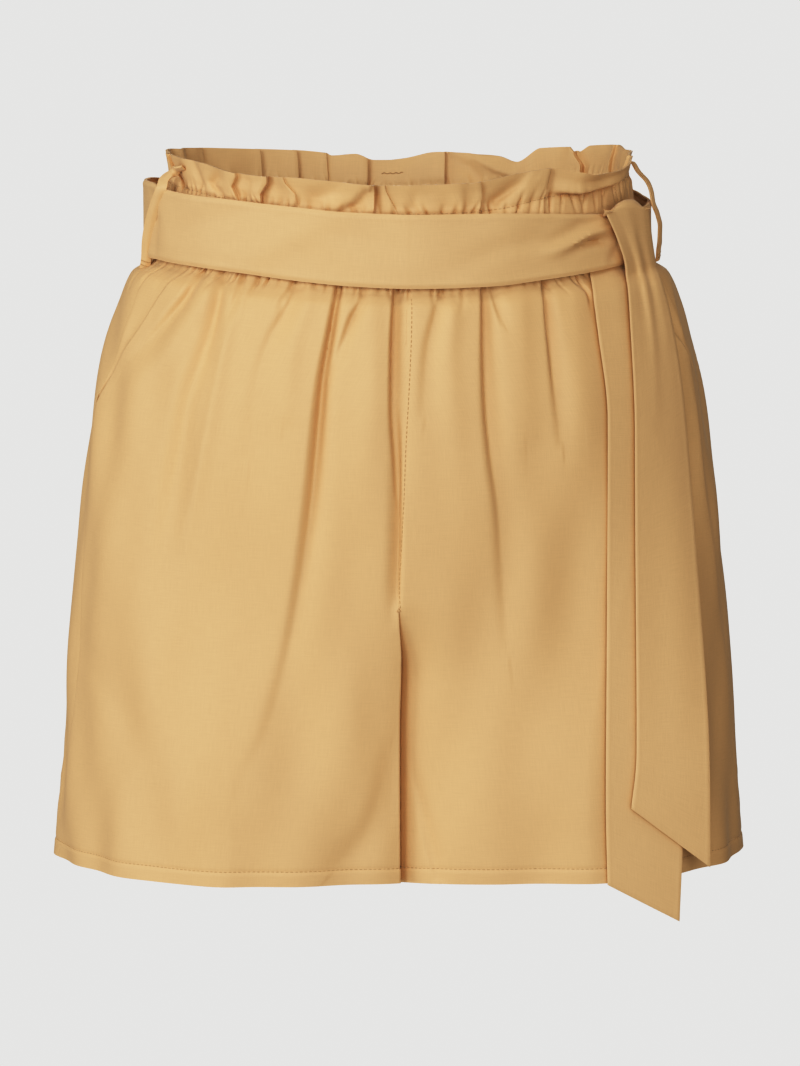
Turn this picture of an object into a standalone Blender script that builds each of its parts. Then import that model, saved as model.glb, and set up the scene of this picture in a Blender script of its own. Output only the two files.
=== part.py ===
"""Belted shorts: gathered paper-bag waist with a frill, belt in three loops with two free tails,
hip pockets and wide straight legs, in the hollow form that they have when worn.

Sizes are in millimetres and are turned to metres when a mesh is made. +Z is up, the front faces -Y and
the wearer's left is +X. The origin is the middle of the waist, at the height where the waistband is worn.
Each piece of cloth is a grid of points on its outer face, thickened inwards by a Solidify modifier.
"""
import bisect
import functools
import math
from collections import namedtuple

import bmesh
import bpy

# Driving sizes
MM = 0.001
CLOTH = 1.4
POCKET_CLOTH = 1.2
BELT_CLOTH = 1.6
LOOP_CLOTH = 1.0
SEAM_GAP = 0.3
SEAM_TRIM = 0.25
LAY_GAP = 0.4
BELT_WIDTH = 39.5
KNOT_BELT_WIDTH = 28.0
LOOP_WIDTH = 5.4
LOOP_RISE = 2.5
LOOP_SLOPE = 4.0
HEM_Z = -346.0
WAIST_SEAM_Z = -17.0
FRILL_TOP_Z = 38.0
RISE_TOP_Z = -165.0
CROTCH_Z = -228.0
LEG_START_Z = -120.0
LEG_FULL_Z = -310.0
FRONT_SAG = 12.0
BACK_SAG = 9.0
INNER_LEG_CLEARANCE = 0.5
INNER_WALL_EASE = 4.0
INNER_CORNER = 14.0
INNER_CORNER_POWER = 2.6
LEG_OUTER_POWER = 1.65
LEG_INNER_EASE = 0.05

# Grid sizes
FRONT_COLUMNS = 19
BACK_COLUMNS = 13
CORNER_COLUMNS = 6
CORNER_SPACING = 1.9
WAISTBAND_COLUMNS = 34
BELT_COLUMNS = 46
TAIL_COLUMNS = 5
ROW_SAMPLES = 120
WAISTBAND_ROWS = (WAIST_SEAM_Z + SEAM_GAP, -4.0, 10.0, 22.0, 30.0, FRILL_TOP_Z)
UPPER_ROWS = (-17, -22, -29, -42, -58, -76, -96, -118, -141, -165)
RISE_ANGLES = (22, 42, 60, 76, 90)
LEG_ROWS = (-262, -304, -338, -346)

# Outline of the body at each height: half the width, and how far it reaches forward and back
Section = namedtuple("Section", "z half_width front back")
BODY = (
    Section(-346, 188.8, 110.5, 114.0),
    Section(-285, 184.4, 110.0, 115.0),
    Section(-225, 179.6, 111.0, 119.0),
    Section(-177, 175.7, 112.0, 123.0),
    Section(-128, 170.4, 112.5, 124.5),
    Section(-90, 164.3, 111.5, 122.0),
    Section(-62, 157.7, 109.0, 117.0),
    Section(-45, 152.5, 106.5, 112.0),
    Section(-29, 145.5, 103.0, 106.0),
    Section(-22, 135.0, 97.5, 99.0),
    Section(-17, 131.0, 95.5, 97.0),
)
WAISTBAND = (
    Section(-17, 131.0, 95.5, 97.0),
    Section(-8, 128.5, 96.5, 96.5),
    Section(8, 127.0, 96.0, 95.5),
    Section(23, 126.0, 94.5, 94.5),
    Section(30, 127.0, 95.5, 95.5),
    Section(38, 129.0, 98.0, 98.0),
)
BELT = Section(0, 138.5, 101.0, 102.5)

# Angles, in degrees on the leg's outline, from its outermost point round to the front
EdgeAngle = namedtuple("EdgeAngle", "z angle")
SIDE_SEAM = (
    EdgeAngle(-346, 12),
    EdgeAngle(-230, 19),
    EdgeAngle(-150, 20),
    EdgeAngle(-98, 20),
    EdgeAngle(-80, 27),
    EdgeAngle(-62, 33),
    EdgeAngle(-45, 36),
    EdgeAngle(-17, 34),
)
POCKET_MOUTH = (
    EdgeAngle(-98, 20),
    EdgeAngle(-75, 34),
    EdgeAngle(-54, 48),
    EdgeAngle(-36, 56),
    EdgeAngle(-17, 62),
)
POCKET_FACING_END_Z = -118.0
POCKET_FACING_COLUMNS = 7
POCKET_FACING_UNDERLAP = 11.0
POCKET_FACING_TRIM = 0.9
POCKET_FACING_SINK = 2.8
POCKET_FACING_DROP = 1.6

# The centre front seam and the gap between the legs drift to the wearer's right on their way down
Drift = namedtuple("Drift", "z x")
CENTRE_DRIFT = (Drift(-346, -4.2), Drift(-200, -4.8), Drift(-110, -2.6), Drift(-45, 0.0))
DRIFT_REACH = 60.0
DRIFT_START_Y = 80.0

# Largest folds: a trough runs from its upper to its lower end, x as seen from the front
Fold = namedtuple("Fold", "face x_top z_top x_low z_low width_top width_low depth")
FOLDS = (
    Fold("front", -3, -17, -4, -205, 4.5, 7, 3.4),
    Fold("front", -33, -17, -88, -330, 6, 20, 4.2),
    Fold("front", -60, -17, -78, -90, 6, 10, 2.4),
    Fold("front", -96, -17, -128, -160, 9, 16, 3.2),
    Fold("front", 44, -17, 58, -250, 7, 16, 4.0),
    Fold("front", 78, -17, 86, -130, 6, 13, 3.4),
    Fold("front", 22, -17, 12, -100, 5, 10, 2.2),
    Fold("back", -92, -17, -118, -190, 8, 18, 3.6),
    Fold("back", -52, -17, -66, -230, 7, 18, 3.8),
    Fold("back", -18, -17, -24, -120, 6, 12, 2.6),
    Fold("back", 34, -17, 42, -220, 7, 17, 4.0),
    Fold("back", 70, -17, 92, -150, 7, 15, 3.2),
    Fold("back", 104, -17, 124, -240, 8, 18, 3.4),
)
FOLD_START = 10.0
FOLD_SHARE_AT_SEAM = 0.35

# Frill: a trough in the gathers at each angle from the centre front, in degrees towards +X
Gather = namedtuple("Gather", "angle width depth")
GATHERS = (
    Gather(-64, 7, 4.0),
    Gather(-44, 4, 5.0),
    Gather(-34, 4, 4.5),
    Gather(-18, 5, 3.0),
    Gather(-6, 4, 4.5),
    Gather(19, 4, 4.0),
    Gather(29, 4, 4.5),
    Gather(43, 6, 4.0),
    Gather(70, 7, 3.5),
    Gather(109, 5, 4.0),
    Gather(127, 5, 4.5),
    Gather(147, 6, 3.5),
    Gather(161, 4, 4.5),
    Gather(-171, 6, 4.0),
    Gather(-156, 5, 4.0),
    Gather(-141, 5, 4.5),
    Gather(-117, 7, 4.0),
)
CASING_SHARE = 0.3
FRILL_START_Z = 20.0

# Belt, loops and knot
KNOT_START_ANGLE = 20.0
KNOT_FULL_ANGLE = 50.0
KNOT_END_ANGLE = 78.0
KNOT_OPEN_ANGLE = 96.0
KNOT_CENTRE_DROP = 4.5
LOOP_ANGLES = {"belt_loop_right": -75.0, "belt_loop_left": 75.0, "belt_loop_back": 180.0}

# Tails: both edges as seen from the front, from the knot down; lift is the outer face above the body
TailRow = namedtuple("TailRow", "z_left x_left z_right x_right rise")
FRONT_TAIL = (
    TailRow(8, 104, 8, 130.5, 1.4),
    TailRow(-9, 112, -10, 133, 1.4),
    TailRow(-24, 116.5, -25, 136, 1.4),
    TailRow(-52, 118, -48, 142, 0.6),
    TailRow(-107, 120, -89, 148.5, 0.0),
    TailRow(-188, 120, -184, 155.5, 0.0),
    TailRow(-276, 119.5, -280, 159.5, 0.0),
    TailRow(-306, 116.5, -340, 160, 0.0),
)
BACK_TAIL = (
    TailRow(-16, 97, -12, 128, -5.0),
    TailRow(-25, 97, -20.5, 129, -5.0),
    TailRow(-31, 97.5, -26.5, 131, 0.9),
    TailRow(-38, 98, -36, 133, 0.7),
    TailRow(-55, 100, -56, 136, 0.0),
    TailRow(-101, 105, -104, 141, 0.0),
    TailRow(-195, 104.5, -204, 144.5, 0.0),
    TailRow(-301, 103, -318, 145, 0.0),
    TailRow(-346.5, 104, -368.5, 143.5, 0.0),
)
TAIL_STEP = 21.0
TAIL_GAP = 0.8
BACK_TAIL_LIFT = CLOTH + 1.2
FRONT_TAIL_LIFT = BACK_TAIL_LIFT + CLOTH + TAIL_GAP
TAIL_TOP_Z = 12.5
TAIL_TUCK = 14.0
TAIL_BEND_STEPS = 5

# Lower down the tails leave the body's curve and turn to face forward, from their innermost edge on
TAIL_TURN_X = 103.0
TAIL_TURN_START_Z = -110.0
TAIL_TURN_END_Z = -300.0
TAIL_TURN_SHARE = 0.85
TAIL_TURN_SLOPE = 0.18

# Colours, linear
TAN = (0.70, 0.46, 0.19, 1.0)
BELT_TAN = (0.72, 0.48, 0.21, 1.0)
SHADE_TAN = (0.52, 0.32, 0.12, 1.0)

COLLECTION_NAME = "belted_shorts"


def smooth(value):
    """Ease from 0 to 1."""
    value = min(max(value, 0.0), 1.0)
    return value * value * (3.0 - 2.0 * value)


def read(table, at, column):
    """Read a column of a table at a height, on a smooth curve through its rows."""
    places = [row.z for row in table]
    values = [getattr(row, column) for row in table]
    if at <= places[0]:
        return values[0]
    if at >= places[-1]:
        return values[-1]
    high = bisect.bisect_right(places, at)
    low = high - 1
    span = places[high] - places[low]
    step = (values[high] - values[low]) / span
    before = after = step
    if low > 0:
        before = (values[low] - values[low - 1]) / (places[low] - places[low - 1])
    if high < len(places) - 1:
        after = (values[high + 1] - values[high]) / (places[high + 1] - places[high])
    slope_low = monotone_slope(before, step)
    slope_high = monotone_slope(step, after)
    part = (at - places[low]) / span
    rise = part * part * (3.0 - 2.0 * part)
    start = part * (1.0 - part) ** 2
    end = part * part * (1.0 - part)
    return (
        values[low] * (1.0 - rise)
        + values[high] * rise
        + span * (slope_low * start - slope_high * end)
    )


def monotone_slope(first, second):
    """The slope of a smooth curve between two steps, flat where they turn back."""
    if first * second <= 0.0:
        return 0.0
    return 2.0 * first * second / (first + second)


def rise_depth(z):
    """How far the rise has curved back: 0 on the centre seam, 1 at the crotch and below it."""
    depth = min(max((RISE_TOP_Z - z) / (RISE_TOP_Z - CROTCH_Z), 0.0), 1.0)
    return 1.0 - math.sqrt(1.0 - depth * depth)


def outer_point(turn, z, half_width, reach):
    """The outer part of an outline: half of the body above, the outside of one leg below."""
    share = smooth((LEG_START_Z - z) / (LEG_START_Z - LEG_FULL_Z))
    body_x = half_width * math.cos(turn / 2.0)
    body_y = reach * math.sin(turn / 2.0)
    leg_x = half_width / 2.0 * (1.0 + math.cos(turn))
    leg_y = reach * (1.0 - LEG_INNER_EASE * math.cos(turn) ** 2)
    if turn < math.pi / 2.0:
        power = 2.0 / LEG_OUTER_POWER
        leg_x = half_width / 2.0 * (1.0 + math.cos(turn) ** power)
        leg_y = reach * math.sin(turn) ** power
    return body_x + (leg_x - body_x) * share, body_y + (leg_y - body_y) * share


@functools.lru_cache(maxsize=None)
def corner_turn(z, half_width, reach):
    """The turn at which the outer part of an outline ends and the inner corner starts."""
    low, high = math.pi / 2.0, math.pi
    for _ in range(30):
        middle = (low + high) / 2.0
        if outer_point(middle, z, half_width, reach)[0] > INNER_CORNER:
            low = middle
        else:
            high = middle
    return low


def outline_point(angle, z):
    """A point of the left half's outline: angle 0 is the outermost point, +-pi the inner edge."""
    half_width = read(BODY, z, "half_width")
    reach = read(BODY, z, "front" if angle >= 0.0 else "back")
    towards = -1.0 if angle >= 0.0 else 1.0
    turn = min(abs(angle), math.pi)
    start = corner_turn(z, half_width, reach)
    if turn <= start or z >= RISE_TOP_Z:
        x, y = outer_point(turn, z, half_width, reach)
        return x, towards * y
    corner_x, corner_y = outer_point(start, z, half_width, reach)
    depth = rise_depth(z)
    seam_y = outer_point(math.pi, z, half_width, reach)[1] * (1.0 - depth)
    wall_x = INNER_LEG_CLEARANCE * smooth(INNER_WALL_EASE * depth)
    along = (turn - start) / (math.pi - start) * math.pi / 2.0
    power = 2.0 / INNER_CORNER_POWER
    x = corner_x - (corner_x - wall_x) * math.sin(along) ** power
    y = seam_y + (corner_y - seam_y) * max(math.cos(along), 0.0) ** power
    return x, towards * y


def plan_normal(point_at, angle, step=0.01):
    """The level outward direction of an outline, from its neighbours on both sides."""
    x_a, y_a = point_at(angle - step)
    x_b, y_b = point_at(angle + step)
    along_x, along_y = x_b - x_a, y_b - y_a
    length = math.hypot(along_x, along_y)
    return -along_y / length, along_x / length


def sag(x, half_width, y):
    """How much lower the waist lies towards the centre front and the centre back."""
    deepest = FRONT_SAG if y < 0.0 else BACK_SAG
    return deepest * max(0.0, 1.0 - (x / half_width) ** 2)


def waist_share(z):
    """The share of the waist's sag that a height of the body takes."""
    return 1.0 - smooth((WAIST_SEAM_Z - z) / (WAIST_SEAM_Z - RISE_TOP_Z))


def fold_depth(x, y, z, half_width):
    """The depth of the troughs at a point of the outer face, seen from the front or the back."""
    face = "front" if y < 0.0 else "back"
    around = math.asin(max(-1.0, min(1.0, x / half_width)))
    total = 0.0
    for fold in FOLDS:
        if fold.face != face or z < fold.z_low:
            continue
        run = (fold.z_top - z) / (fold.z_top - fold.z_low)
        course = math.asin((fold.x_top + (fold.x_low - fold.x_top) * run) / half_width)
        width = fold.width_top + (fold.width_low - fold.width_top) * run
        start = FOLD_SHARE_AT_SEAM + (1.0 - FOLD_SHARE_AT_SEAM) * smooth((fold.z_top - z) / FOLD_START)
        across = (around - course) * half_width / width
        total += fold.depth * start * smooth(2.0 * (1.0 - run)) * math.exp(-across * across)
    return total


def centre_drift(x, y, z):
    """The shift to the side of a point near the centre front."""
    return read(CENTRE_DRIFT, z, "x") * math.exp(-((x / DRIFT_REACH) ** 2)) * smooth(-y / DRIFT_START_Y)


def body_point(side, angle, z, lift=0.0):
    """A point on the outer face of a leg's panels, with its folds and the waist's sag."""
    x, y = outline_point(angle, z)
    normal_x, normal_y = plan_normal(lambda turn: outline_point(turn, z), angle)
    half_width = read(BODY, z, "half_width")
    out = lift - fold_depth(side * x, y, z, half_width) * abs(normal_y)
    height = z - sag(x, half_width, y) * waist_share(z)
    return side * (x + normal_x * out) + centre_drift(x, y, z), y + normal_y * out, height


def resampled(points, count, trim_start, trim_end, spacing=1.0):
    """The same line with its points evenly spaced, or closer at its start, shortened at both ends."""
    lengths = [0.0]
    for first, second in zip(points, points[1:]):
        lengths.append(lengths[-1] + math.dist(first, second))
    usable = lengths[-1] - trim_start - trim_end
    result = []
    for index in range(count):
        at = trim_start + usable * (index / (count - 1)) ** spacing
        high = min(max(bisect.bisect_right(lengths, at), 1), len(points) - 1)
        low = high - 1
        part = (at - lengths[low]) / (lengths[high] - lengths[low])
        result.append(tuple(a + (b - a) * part for a, b in zip(points[low], points[high])))
    return result


def body_heights():
    rise = RISE_TOP_Z - CROTCH_Z
    curve = [RISE_TOP_Z - rise * math.sin(math.radians(angle)) for angle in RISE_ANGLES]
    return list(UPPER_ROWS) + curve + list(LEG_ROWS)


def sampled_line(side, z, start, end):
    """A dense line of points of one row between two angles."""
    span = end - start
    return [body_point(side, start + span * index / ROW_SAMPLES, z) for index in range(ROW_SAMPLES + 1)]


def panel_rows(side, face, columns):
    """The grid of a front or back panel, from its side edge to its inner edge."""
    rows = []
    for z in body_heights():
        seam = math.radians(read(SIDE_SEAM, z, "angle"))
        if face == "front":
            mouth = math.radians(read(POCKET_MOUTH, z, "angle"))
            start = max(mouth, seam) if z > POCKET_MOUTH[0].z else seam
            end = math.pi
        else:
            start = seam
            end = -math.pi
        half_width = read(BODY, z, "half_width")
        corner = math.copysign(corner_turn(z, half_width, read(BODY, z, face)), end)
        outer = sampled_line(side, z, start, corner)
        inner = sampled_line(side, z, corner, end)
        row = resampled(outer, columns, SEAM_TRIM, 0.0)
        rows.append(row + resampled(inner, CORNER_COLUMNS, 0.0, SEAM_TRIM, CORNER_SPACING)[1:])
    return rows


def facing_rows(side):
    """The pocket facing: flush with the back panel at the side seam, under the front at the mouth."""
    rows = []
    for z in UPPER_ROWS:
        if z < POCKET_FACING_END_Z:
            break
        half_width = read(BODY, z, "half_width")
        seam = math.radians(read(SIDE_SEAM, z, "angle"))
        mouth = max(math.radians(read(POCKET_MOUTH, z, "angle")), seam)
        end = mouth + 2.0 * POCKET_FACING_UNDERLAP / half_width
        opened = smooth((mouth - seam) * half_width / 2.0 / CLOTH - 1.0)
        line = []
        for index in range(POCKET_FACING_COLUMNS):
            angle = seam + (end - seam) * index / (POCKET_FACING_COLUMNS - 1)
            reach = (angle - seam) / max(mouth - seam, 0.001)
            sunk = max(smooth(reach * POCKET_FACING_DROP), 1.0 - opened)
            line.append(body_point(side, angle, z, lift=-POCKET_FACING_SINK * sunk))
        rows.append(resampled(line, POCKET_FACING_COLUMNS, POCKET_FACING_TRIM, 0.0))
    return rows


def ring_point(section, angle, lift=0.0):
    """A point of a whole ring round the waist, at an angle from the centre front towards +X."""
    reach = section.front if math.cos(angle) > 0.0 else section.back

    def at(turn):
        return section.half_width * math.sin(turn), -reach * math.cos(turn)

    x, y = at(angle)
    normal_x, normal_y = plan_normal(at, angle)
    normal_x, normal_y = -normal_x, -normal_y
    height = section.z - sag(x, section.half_width, y)
    return x + normal_x * lift, y + normal_y * lift, height


def gather_depth(angle, z):
    """The depth of the waistband's gathers, shallow in the casing and full at the frill's top."""
    above = smooth((z - FRILL_START_Z) / (FRILL_TOP_Z - FRILL_START_Z))
    share = CASING_SHARE + (1.0 - CASING_SHARE) * above
    total = 0.0
    for gather in GATHERS:
        away = (math.degrees(angle) - gather.angle + 180.0) % 360.0 - 180.0
        total += gather.depth * share * math.exp(-((away / gather.width) ** 2))
    return total


def section_at(table, z):
    return Section(z, *(read(table, z, column) for column in Section._fields[1:]))


def waistband_rows(face):
    """Casing and frill of the front or the back half, from seam to seam at the sides."""
    middle = 0.0 if face == "front" else math.pi
    rows = []
    for z in WAISTBAND_ROWS:
        section = section_at(WAISTBAND, z)
        line = []
        for index in range(ROW_SAMPLES * 2 + 1):
            angle = middle + math.pi * (index / (ROW_SAMPLES * 2) - 0.5)
            line.append(ring_point(section, angle, lift=-gather_depth(angle, z)))
        rows.append(resampled(line, WAISTBAND_COLUMNS, SEAM_TRIM, SEAM_TRIM))
    return rows


def knot_share(angle):
    """How far the belt is drawn together, 1 under the knot and 0 away from it."""
    degrees = (math.degrees(angle) + 180.0) % 360.0 - 180.0
    drawn_in = smooth((degrees - KNOT_START_ANGLE) / (KNOT_FULL_ANGLE - KNOT_START_ANGLE))
    let_out = smooth((degrees - KNOT_END_ANGLE) / (KNOT_OPEN_ANGLE - KNOT_END_ANGLE))
    return drawn_in - let_out


def belt_point(angle, across):
    """A point of the belt's outer face; across runs from -0.5 at its lower edge to 0.5."""
    drawn = knot_share(angle)
    width = BELT_WIDTH + (KNOT_BELT_WIDTH - BELT_WIDTH) * drawn
    x, y, z = ring_point(BELT, angle)
    return x, y, z - KNOT_CENTRE_DROP * drawn + width * across


def belt_rows():
    rows = []
    for across in (-0.5, 0.0, 0.5):
        line = [belt_point(2.0 * math.pi * index / BELT_COLUMNS, across) for index in range(BELT_COLUMNS)]
        rows.append(line)
    return rows


def loop_rows(angle):
    """A belt loop: sewn to the waistband above the belt, over the belt, sewn to the body below it."""
    half_belt = BELT_WIDTH / 2.0
    top_z = half_belt + 8.5
    over_z = half_belt + 3.0
    foot_z = -half_belt - 8.0
    sewn = LAY_GAP + LOOP_CLOTH
    rows = [
        loop_cross(section_at(WAISTBAND, top_z), angle, top_z, sewn),
        loop_cross(section_at(WAISTBAND, over_z + LOOP_RISE), angle, over_z + LOOP_RISE, sewn),
        loop_cross(BELT, angle, over_z, -LOOP_SLOPE),
    ]
    for z in (half_belt + 1.0, 0.0, -half_belt):
        rows.append(loop_cross(BELT, angle, z, sewn))
    rows.append(loop_cross(section_at(BODY, foot_z), angle, foot_z, sewn))
    return rows


def loop_cross(section, angle, z, lift):
    """The two edges of a loop at one height."""
    level = Section(z, section.half_width, section.front, section.back)
    x, y, height = ring_point(level, angle, lift)
    ahead_x, ahead_y, _ = ring_point(level, angle + 0.02, lift)
    length = math.hypot(ahead_x - x, ahead_y - y)
    along_x = (ahead_x - x) / length * LOOP_WIDTH / 2.0
    along_y = (ahead_y - y) / length * LOOP_WIDTH / 2.0
    return [(x - along_x, y - along_y, height), (x + along_x, y + along_y, height)]


def bed_outline(angle, z):
    """What a tail lies on: the belt, or the body where that reaches further out."""
    belt_x = BELT.half_width * math.cos(angle / 2.0)
    belt_y = -BELT.front * math.sin(angle / 2.0)
    body_x, body_y = outline_point(angle, max(z, HEM_Z))
    if math.hypot(belt_x, belt_y) > math.hypot(body_x, body_y):
        return belt_x, belt_y
    return body_x, body_y


def on_bed(x, height, lift):
    """The point above x, moved out from the facets between the body's rows."""
    half_width = read(BODY, height, "half_width")
    level = height + sag(x, half_width, -1.0) * waist_share(height)
    level = max(level, HEM_Z)
    if level >= WAIST_SEAM_Z:
        x, y = on_outline(x, level, lift)
        return x, y, height
    levels = body_heights()
    upper = min(z for z in levels if z >= level)
    lower = max(z for z in levels if z <= level)
    _, first = on_outline(x, upper, lift)
    _, second = on_outline(x, lower, lift)
    share = 0.0 if upper == lower else (upper - level) / (upper - lower)
    return x, first + (second - first) * share, height


def on_outline(x, z, lift):
    """The point above x, as seen from the front, moved out from one outline."""
    low, high = 0.0, math.pi / 2.0 + 0.4
    for _ in range(40):
        middle = (low + high) / 2.0
        px, py = bed_outline(middle, z)
        normal_x, normal_y = plan_normal(lambda turn: bed_outline(turn, z), middle)
        if px + normal_x * lift > x:
            low = middle
        else:
            high = middle
    return px + normal_x * lift, py + normal_y * lift


def turned_forward(x, z, lift):
    """A point of a tail on the body, or further forward where the tail turns away from the body's curve."""
    _, y, _ = on_bed(x, z, lift)
    _, start_y, _ = on_bed(TAIL_TURN_X, z, lift)
    run = (TAIL_TURN_START_Z - z) / (TAIL_TURN_START_Z - TAIL_TURN_END_Z)
    flat_y = min(y, start_y + max(x - TAIL_TURN_X, 0.0) * TAIL_TURN_SLOPE)
    return x, y + (flat_y - y) * TAIL_TURN_SHARE * smooth(run), z


def tail_row(row, lift):
    """One row of points across a tail."""
    z_left, x_left, z_right, x_right, rise = row
    line = []
    for column in range(TAIL_COLUMNS):
        across = column / (TAIL_COLUMNS - 1)
        x = x_left + (x_right - x_left) * across
        z = z_left + (z_right - z_left) * across
        line.append(turned_forward(x, z, lift + rise))
    return line


def tail_rows(table, lift):
    """The rows of a tail, with enough of them between the table's own rows to follow the body."""
    rows = [tail_row(table[0], lift)]
    for upper, lower in zip(table, table[1:]):
        steps = max(1, math.ceil((upper.z_right - lower.z_right) / TAIL_STEP))
        for step in range(1, steps + 1):
            between = [a + (b - a) * step / steps for a, b in zip(upper, lower)]
            rows.append(tail_row(between, lift))
    return rows


def front_tail_rows():
    """The tail that comes up behind the belt, bends over its top edge and hangs in front."""
    hanging = tail_rows(FRONT_TAIL, FRONT_TAIL_LIFT)
    first = hanging[0]
    inner_lift = -BELT_CLOTH - TAIL_GAP - CLOTH
    inner = [on_bed(x, z, inner_lift) for x, y, z in first]
    rows = [[(x, y, z - TAIL_TUCK) for x, y, z in inner]]
    for step in range(TAIL_BEND_STEPS):
        turn = math.pi * step / TAIL_BEND_STEPS
        share = (1.0 - math.cos(turn)) / 2.0
        row = []
        for behind, front in zip(inner, first):
            x = behind[0] + (front[0] - behind[0]) * share
            y = behind[1] + (front[1] - behind[1]) * share
            z = front[2] + (TAIL_TOP_Z - front[2]) * math.sin(turn)
            row.append((x, y, z))
        rows.append(row)
    return rows + hanging


def cloth_material(name, colour):
    material = bpy.data.materials.new(name)
    material.use_nodes = True
    shader = material.node_tree.nodes["Principled BSDF"]
    shader.inputs["Base Color"].default_value = colour
    shader.inputs["Roughness"].default_value = 0.7
    shader.inputs["Metallic"].default_value = 0.0
    return material


def cloth_piece(collection, name, rows, thickness, colour, inside, closed=False):
    """A wall of cloth: a grid of points on the outer face, thickened away from the outside."""
    mesh = bpy.data.meshes.new(name)
    shape = bmesh.new()
    grid = [[shape.verts.new([c * MM for c in point]) for point in row] for row in rows]
    columns = len(rows[0])
    for upper, lower in zip(grid, grid[1:]):
        for column in range(columns if closed else columns - 1):
            beside = (column + 1) % columns
            shape.faces.new((upper[column], lower[column], lower[beside], upper[beside]))
    shape.normal_update()
    outwards = 0.0
    for face in shape.faces:
        centre = face.calc_center_median()
        away_x = centre.x - inside[0] * MM
        away_y = centre.y - inside[1] * MM
        outwards += (face.normal.x * away_x + face.normal.y * away_y) * face.calc_area()
    if outwards < 0.0:
        bmesh.ops.reverse_faces(shape, faces=shape.faces)
    shape.to_mesh(mesh)
    shape.free()
    mesh.shade_smooth()
    mesh.materials.append(cloth_material(name, colour))
    piece = bpy.data.objects.new(name, mesh)
    collection.objects.link(piece)
    solidify = piece.modifiers.new("cloth", "SOLIDIFY")
    solidify.thickness = thickness * MM
    solidify.offset = -1.0
    return piece


def make_shorts():
    collection = bpy.data.collections.new(COLLECTION_NAME)
    bpy.context.scene.collection.children.link(collection)
    leg_middle = BODY[0].half_width / 2.0
    for name, side in (("right", -1), ("left", 1)):
        inside = (side * leg_middle, 0.0)
        front = panel_rows(side, "front", FRONT_COLUMNS)
        back = panel_rows(side, "back", BACK_COLUMNS)
        cloth_piece(collection, "front_" + name, front, CLOTH, TAN, inside)
        cloth_piece(collection, "back_" + name, back, CLOTH, TAN, inside)
        facing = facing_rows(side)
        cloth_piece(collection, "pocket_facing_" + name, facing, POCKET_CLOTH, SHADE_TAN, inside)
    for face in ("front", "back"):
        cloth_piece(collection, "waistband_" + face, waistband_rows(face), CLOTH, TAN, (0.0, 0.0))
    cloth_piece(collection, "belt_band", belt_rows(), BELT_CLOTH, BELT_TAN, (0.0, 0.0), closed=True)
    for name, degrees in LOOP_ANGLES.items():
        loop = loop_rows(math.radians(degrees))
        cloth_piece(collection, name, loop, LOOP_CLOTH, BELT_TAN, (0.0, 0.0))
    inside = (leg_middle, 0.0)
    back_tail = tail_rows(BACK_TAIL, BACK_TAIL_LIFT)
    cloth_piece(collection, "belt_tail_back", back_tail, CLOTH, BELT_TAN, inside)
    cloth_piece(collection, "belt_tail_front", front_tail_rows(), CLOTH, BELT_TAN, inside)


for old in list(bpy.data.objects):
    bpy.data.objects.remove(old, do_unlink=True)
make_shorts()
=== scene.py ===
"""Looks of the belted shorts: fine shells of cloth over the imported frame, their folds, stitches and studio.

Lengths are in millimetres until a mesh is made. +Z is up, the front faces -Y and the wearer's left is +X;
image left is the wearer's right. Each piece of cloth is a fine grid of points on its outer face, from the
same sections as its CAD solid, moved along the outline's normals by its creases and thickened inwards.
"""
import functools
import math
from collections import namedtuple

import bpy
import numpy as np
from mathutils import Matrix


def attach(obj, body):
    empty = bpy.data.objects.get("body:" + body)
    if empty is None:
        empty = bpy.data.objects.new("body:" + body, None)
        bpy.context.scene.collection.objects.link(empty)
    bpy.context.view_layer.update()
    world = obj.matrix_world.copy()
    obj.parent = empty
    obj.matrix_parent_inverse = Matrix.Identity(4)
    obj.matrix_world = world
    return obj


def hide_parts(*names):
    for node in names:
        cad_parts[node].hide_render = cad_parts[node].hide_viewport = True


MM = 0.001
SEED = 11


def named_rows(columns, *rows):
    """A table whose columns have names. Its first column says where each row is."""
    row_type = namedtuple("Row", columns)
    return tuple(row_type(*row) for row in rows)


# The cut of the garment, as in the CAD model
WAIST_SEAM_Z = -17.0
HEM_Z = -346.0
FRILL_TOP_Z = 38.0
RISE_TOP_Z = -198.0
SAG_END_Z = -165.0
CROTCH_Z = -228.0
LEG_START_Z = -120.0
LEG_FULL_Z = -310.0
FRONT_SAG = 12.0
BACK_SAG = 9.0
INNER_LEG_CLEARANCE = 0.02
INNER_CORNER = 1.6
INNER_CORNER_POWER = 16.0
LEG_OUTER_POWER = 1.65
LEG_INNER_EASE = 0.05
# How wide the rim of a leg is at the gap between the legs, and over which height its folds fade out there
RIM_WIDTH = 3.0
RIM_EASE = 12.0
# Near the gap between the legs the cloth curves back: by how much and how wide, for the right and left leg
CLEFT_DEPTH = {"front": (3.6, 13.0), "back": (2.4, 7.0)}
CLEFT_WIDTH = {"front": (9.0, 14.0), "back": (8.0, 13.0)}
CLEFT_POWER = 1.25
CLEFT_HEM_DROP = 0.12
CLEFT_START_Z = RISE_TOP_Z + 4.0
CLEFT_GROWTH = 46.0
CLEFT_FACE_Y = 70.0
CLEFT_HEM_Z = -300.0
CLEFT_HEM_EASE = 40.0
# The edge of the wearer's right leg laps over the other leg at the gap
CLEFT_LAP = 1.4
CLEFT_LAP_DEPTH = (1.8, 3.6)

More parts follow.
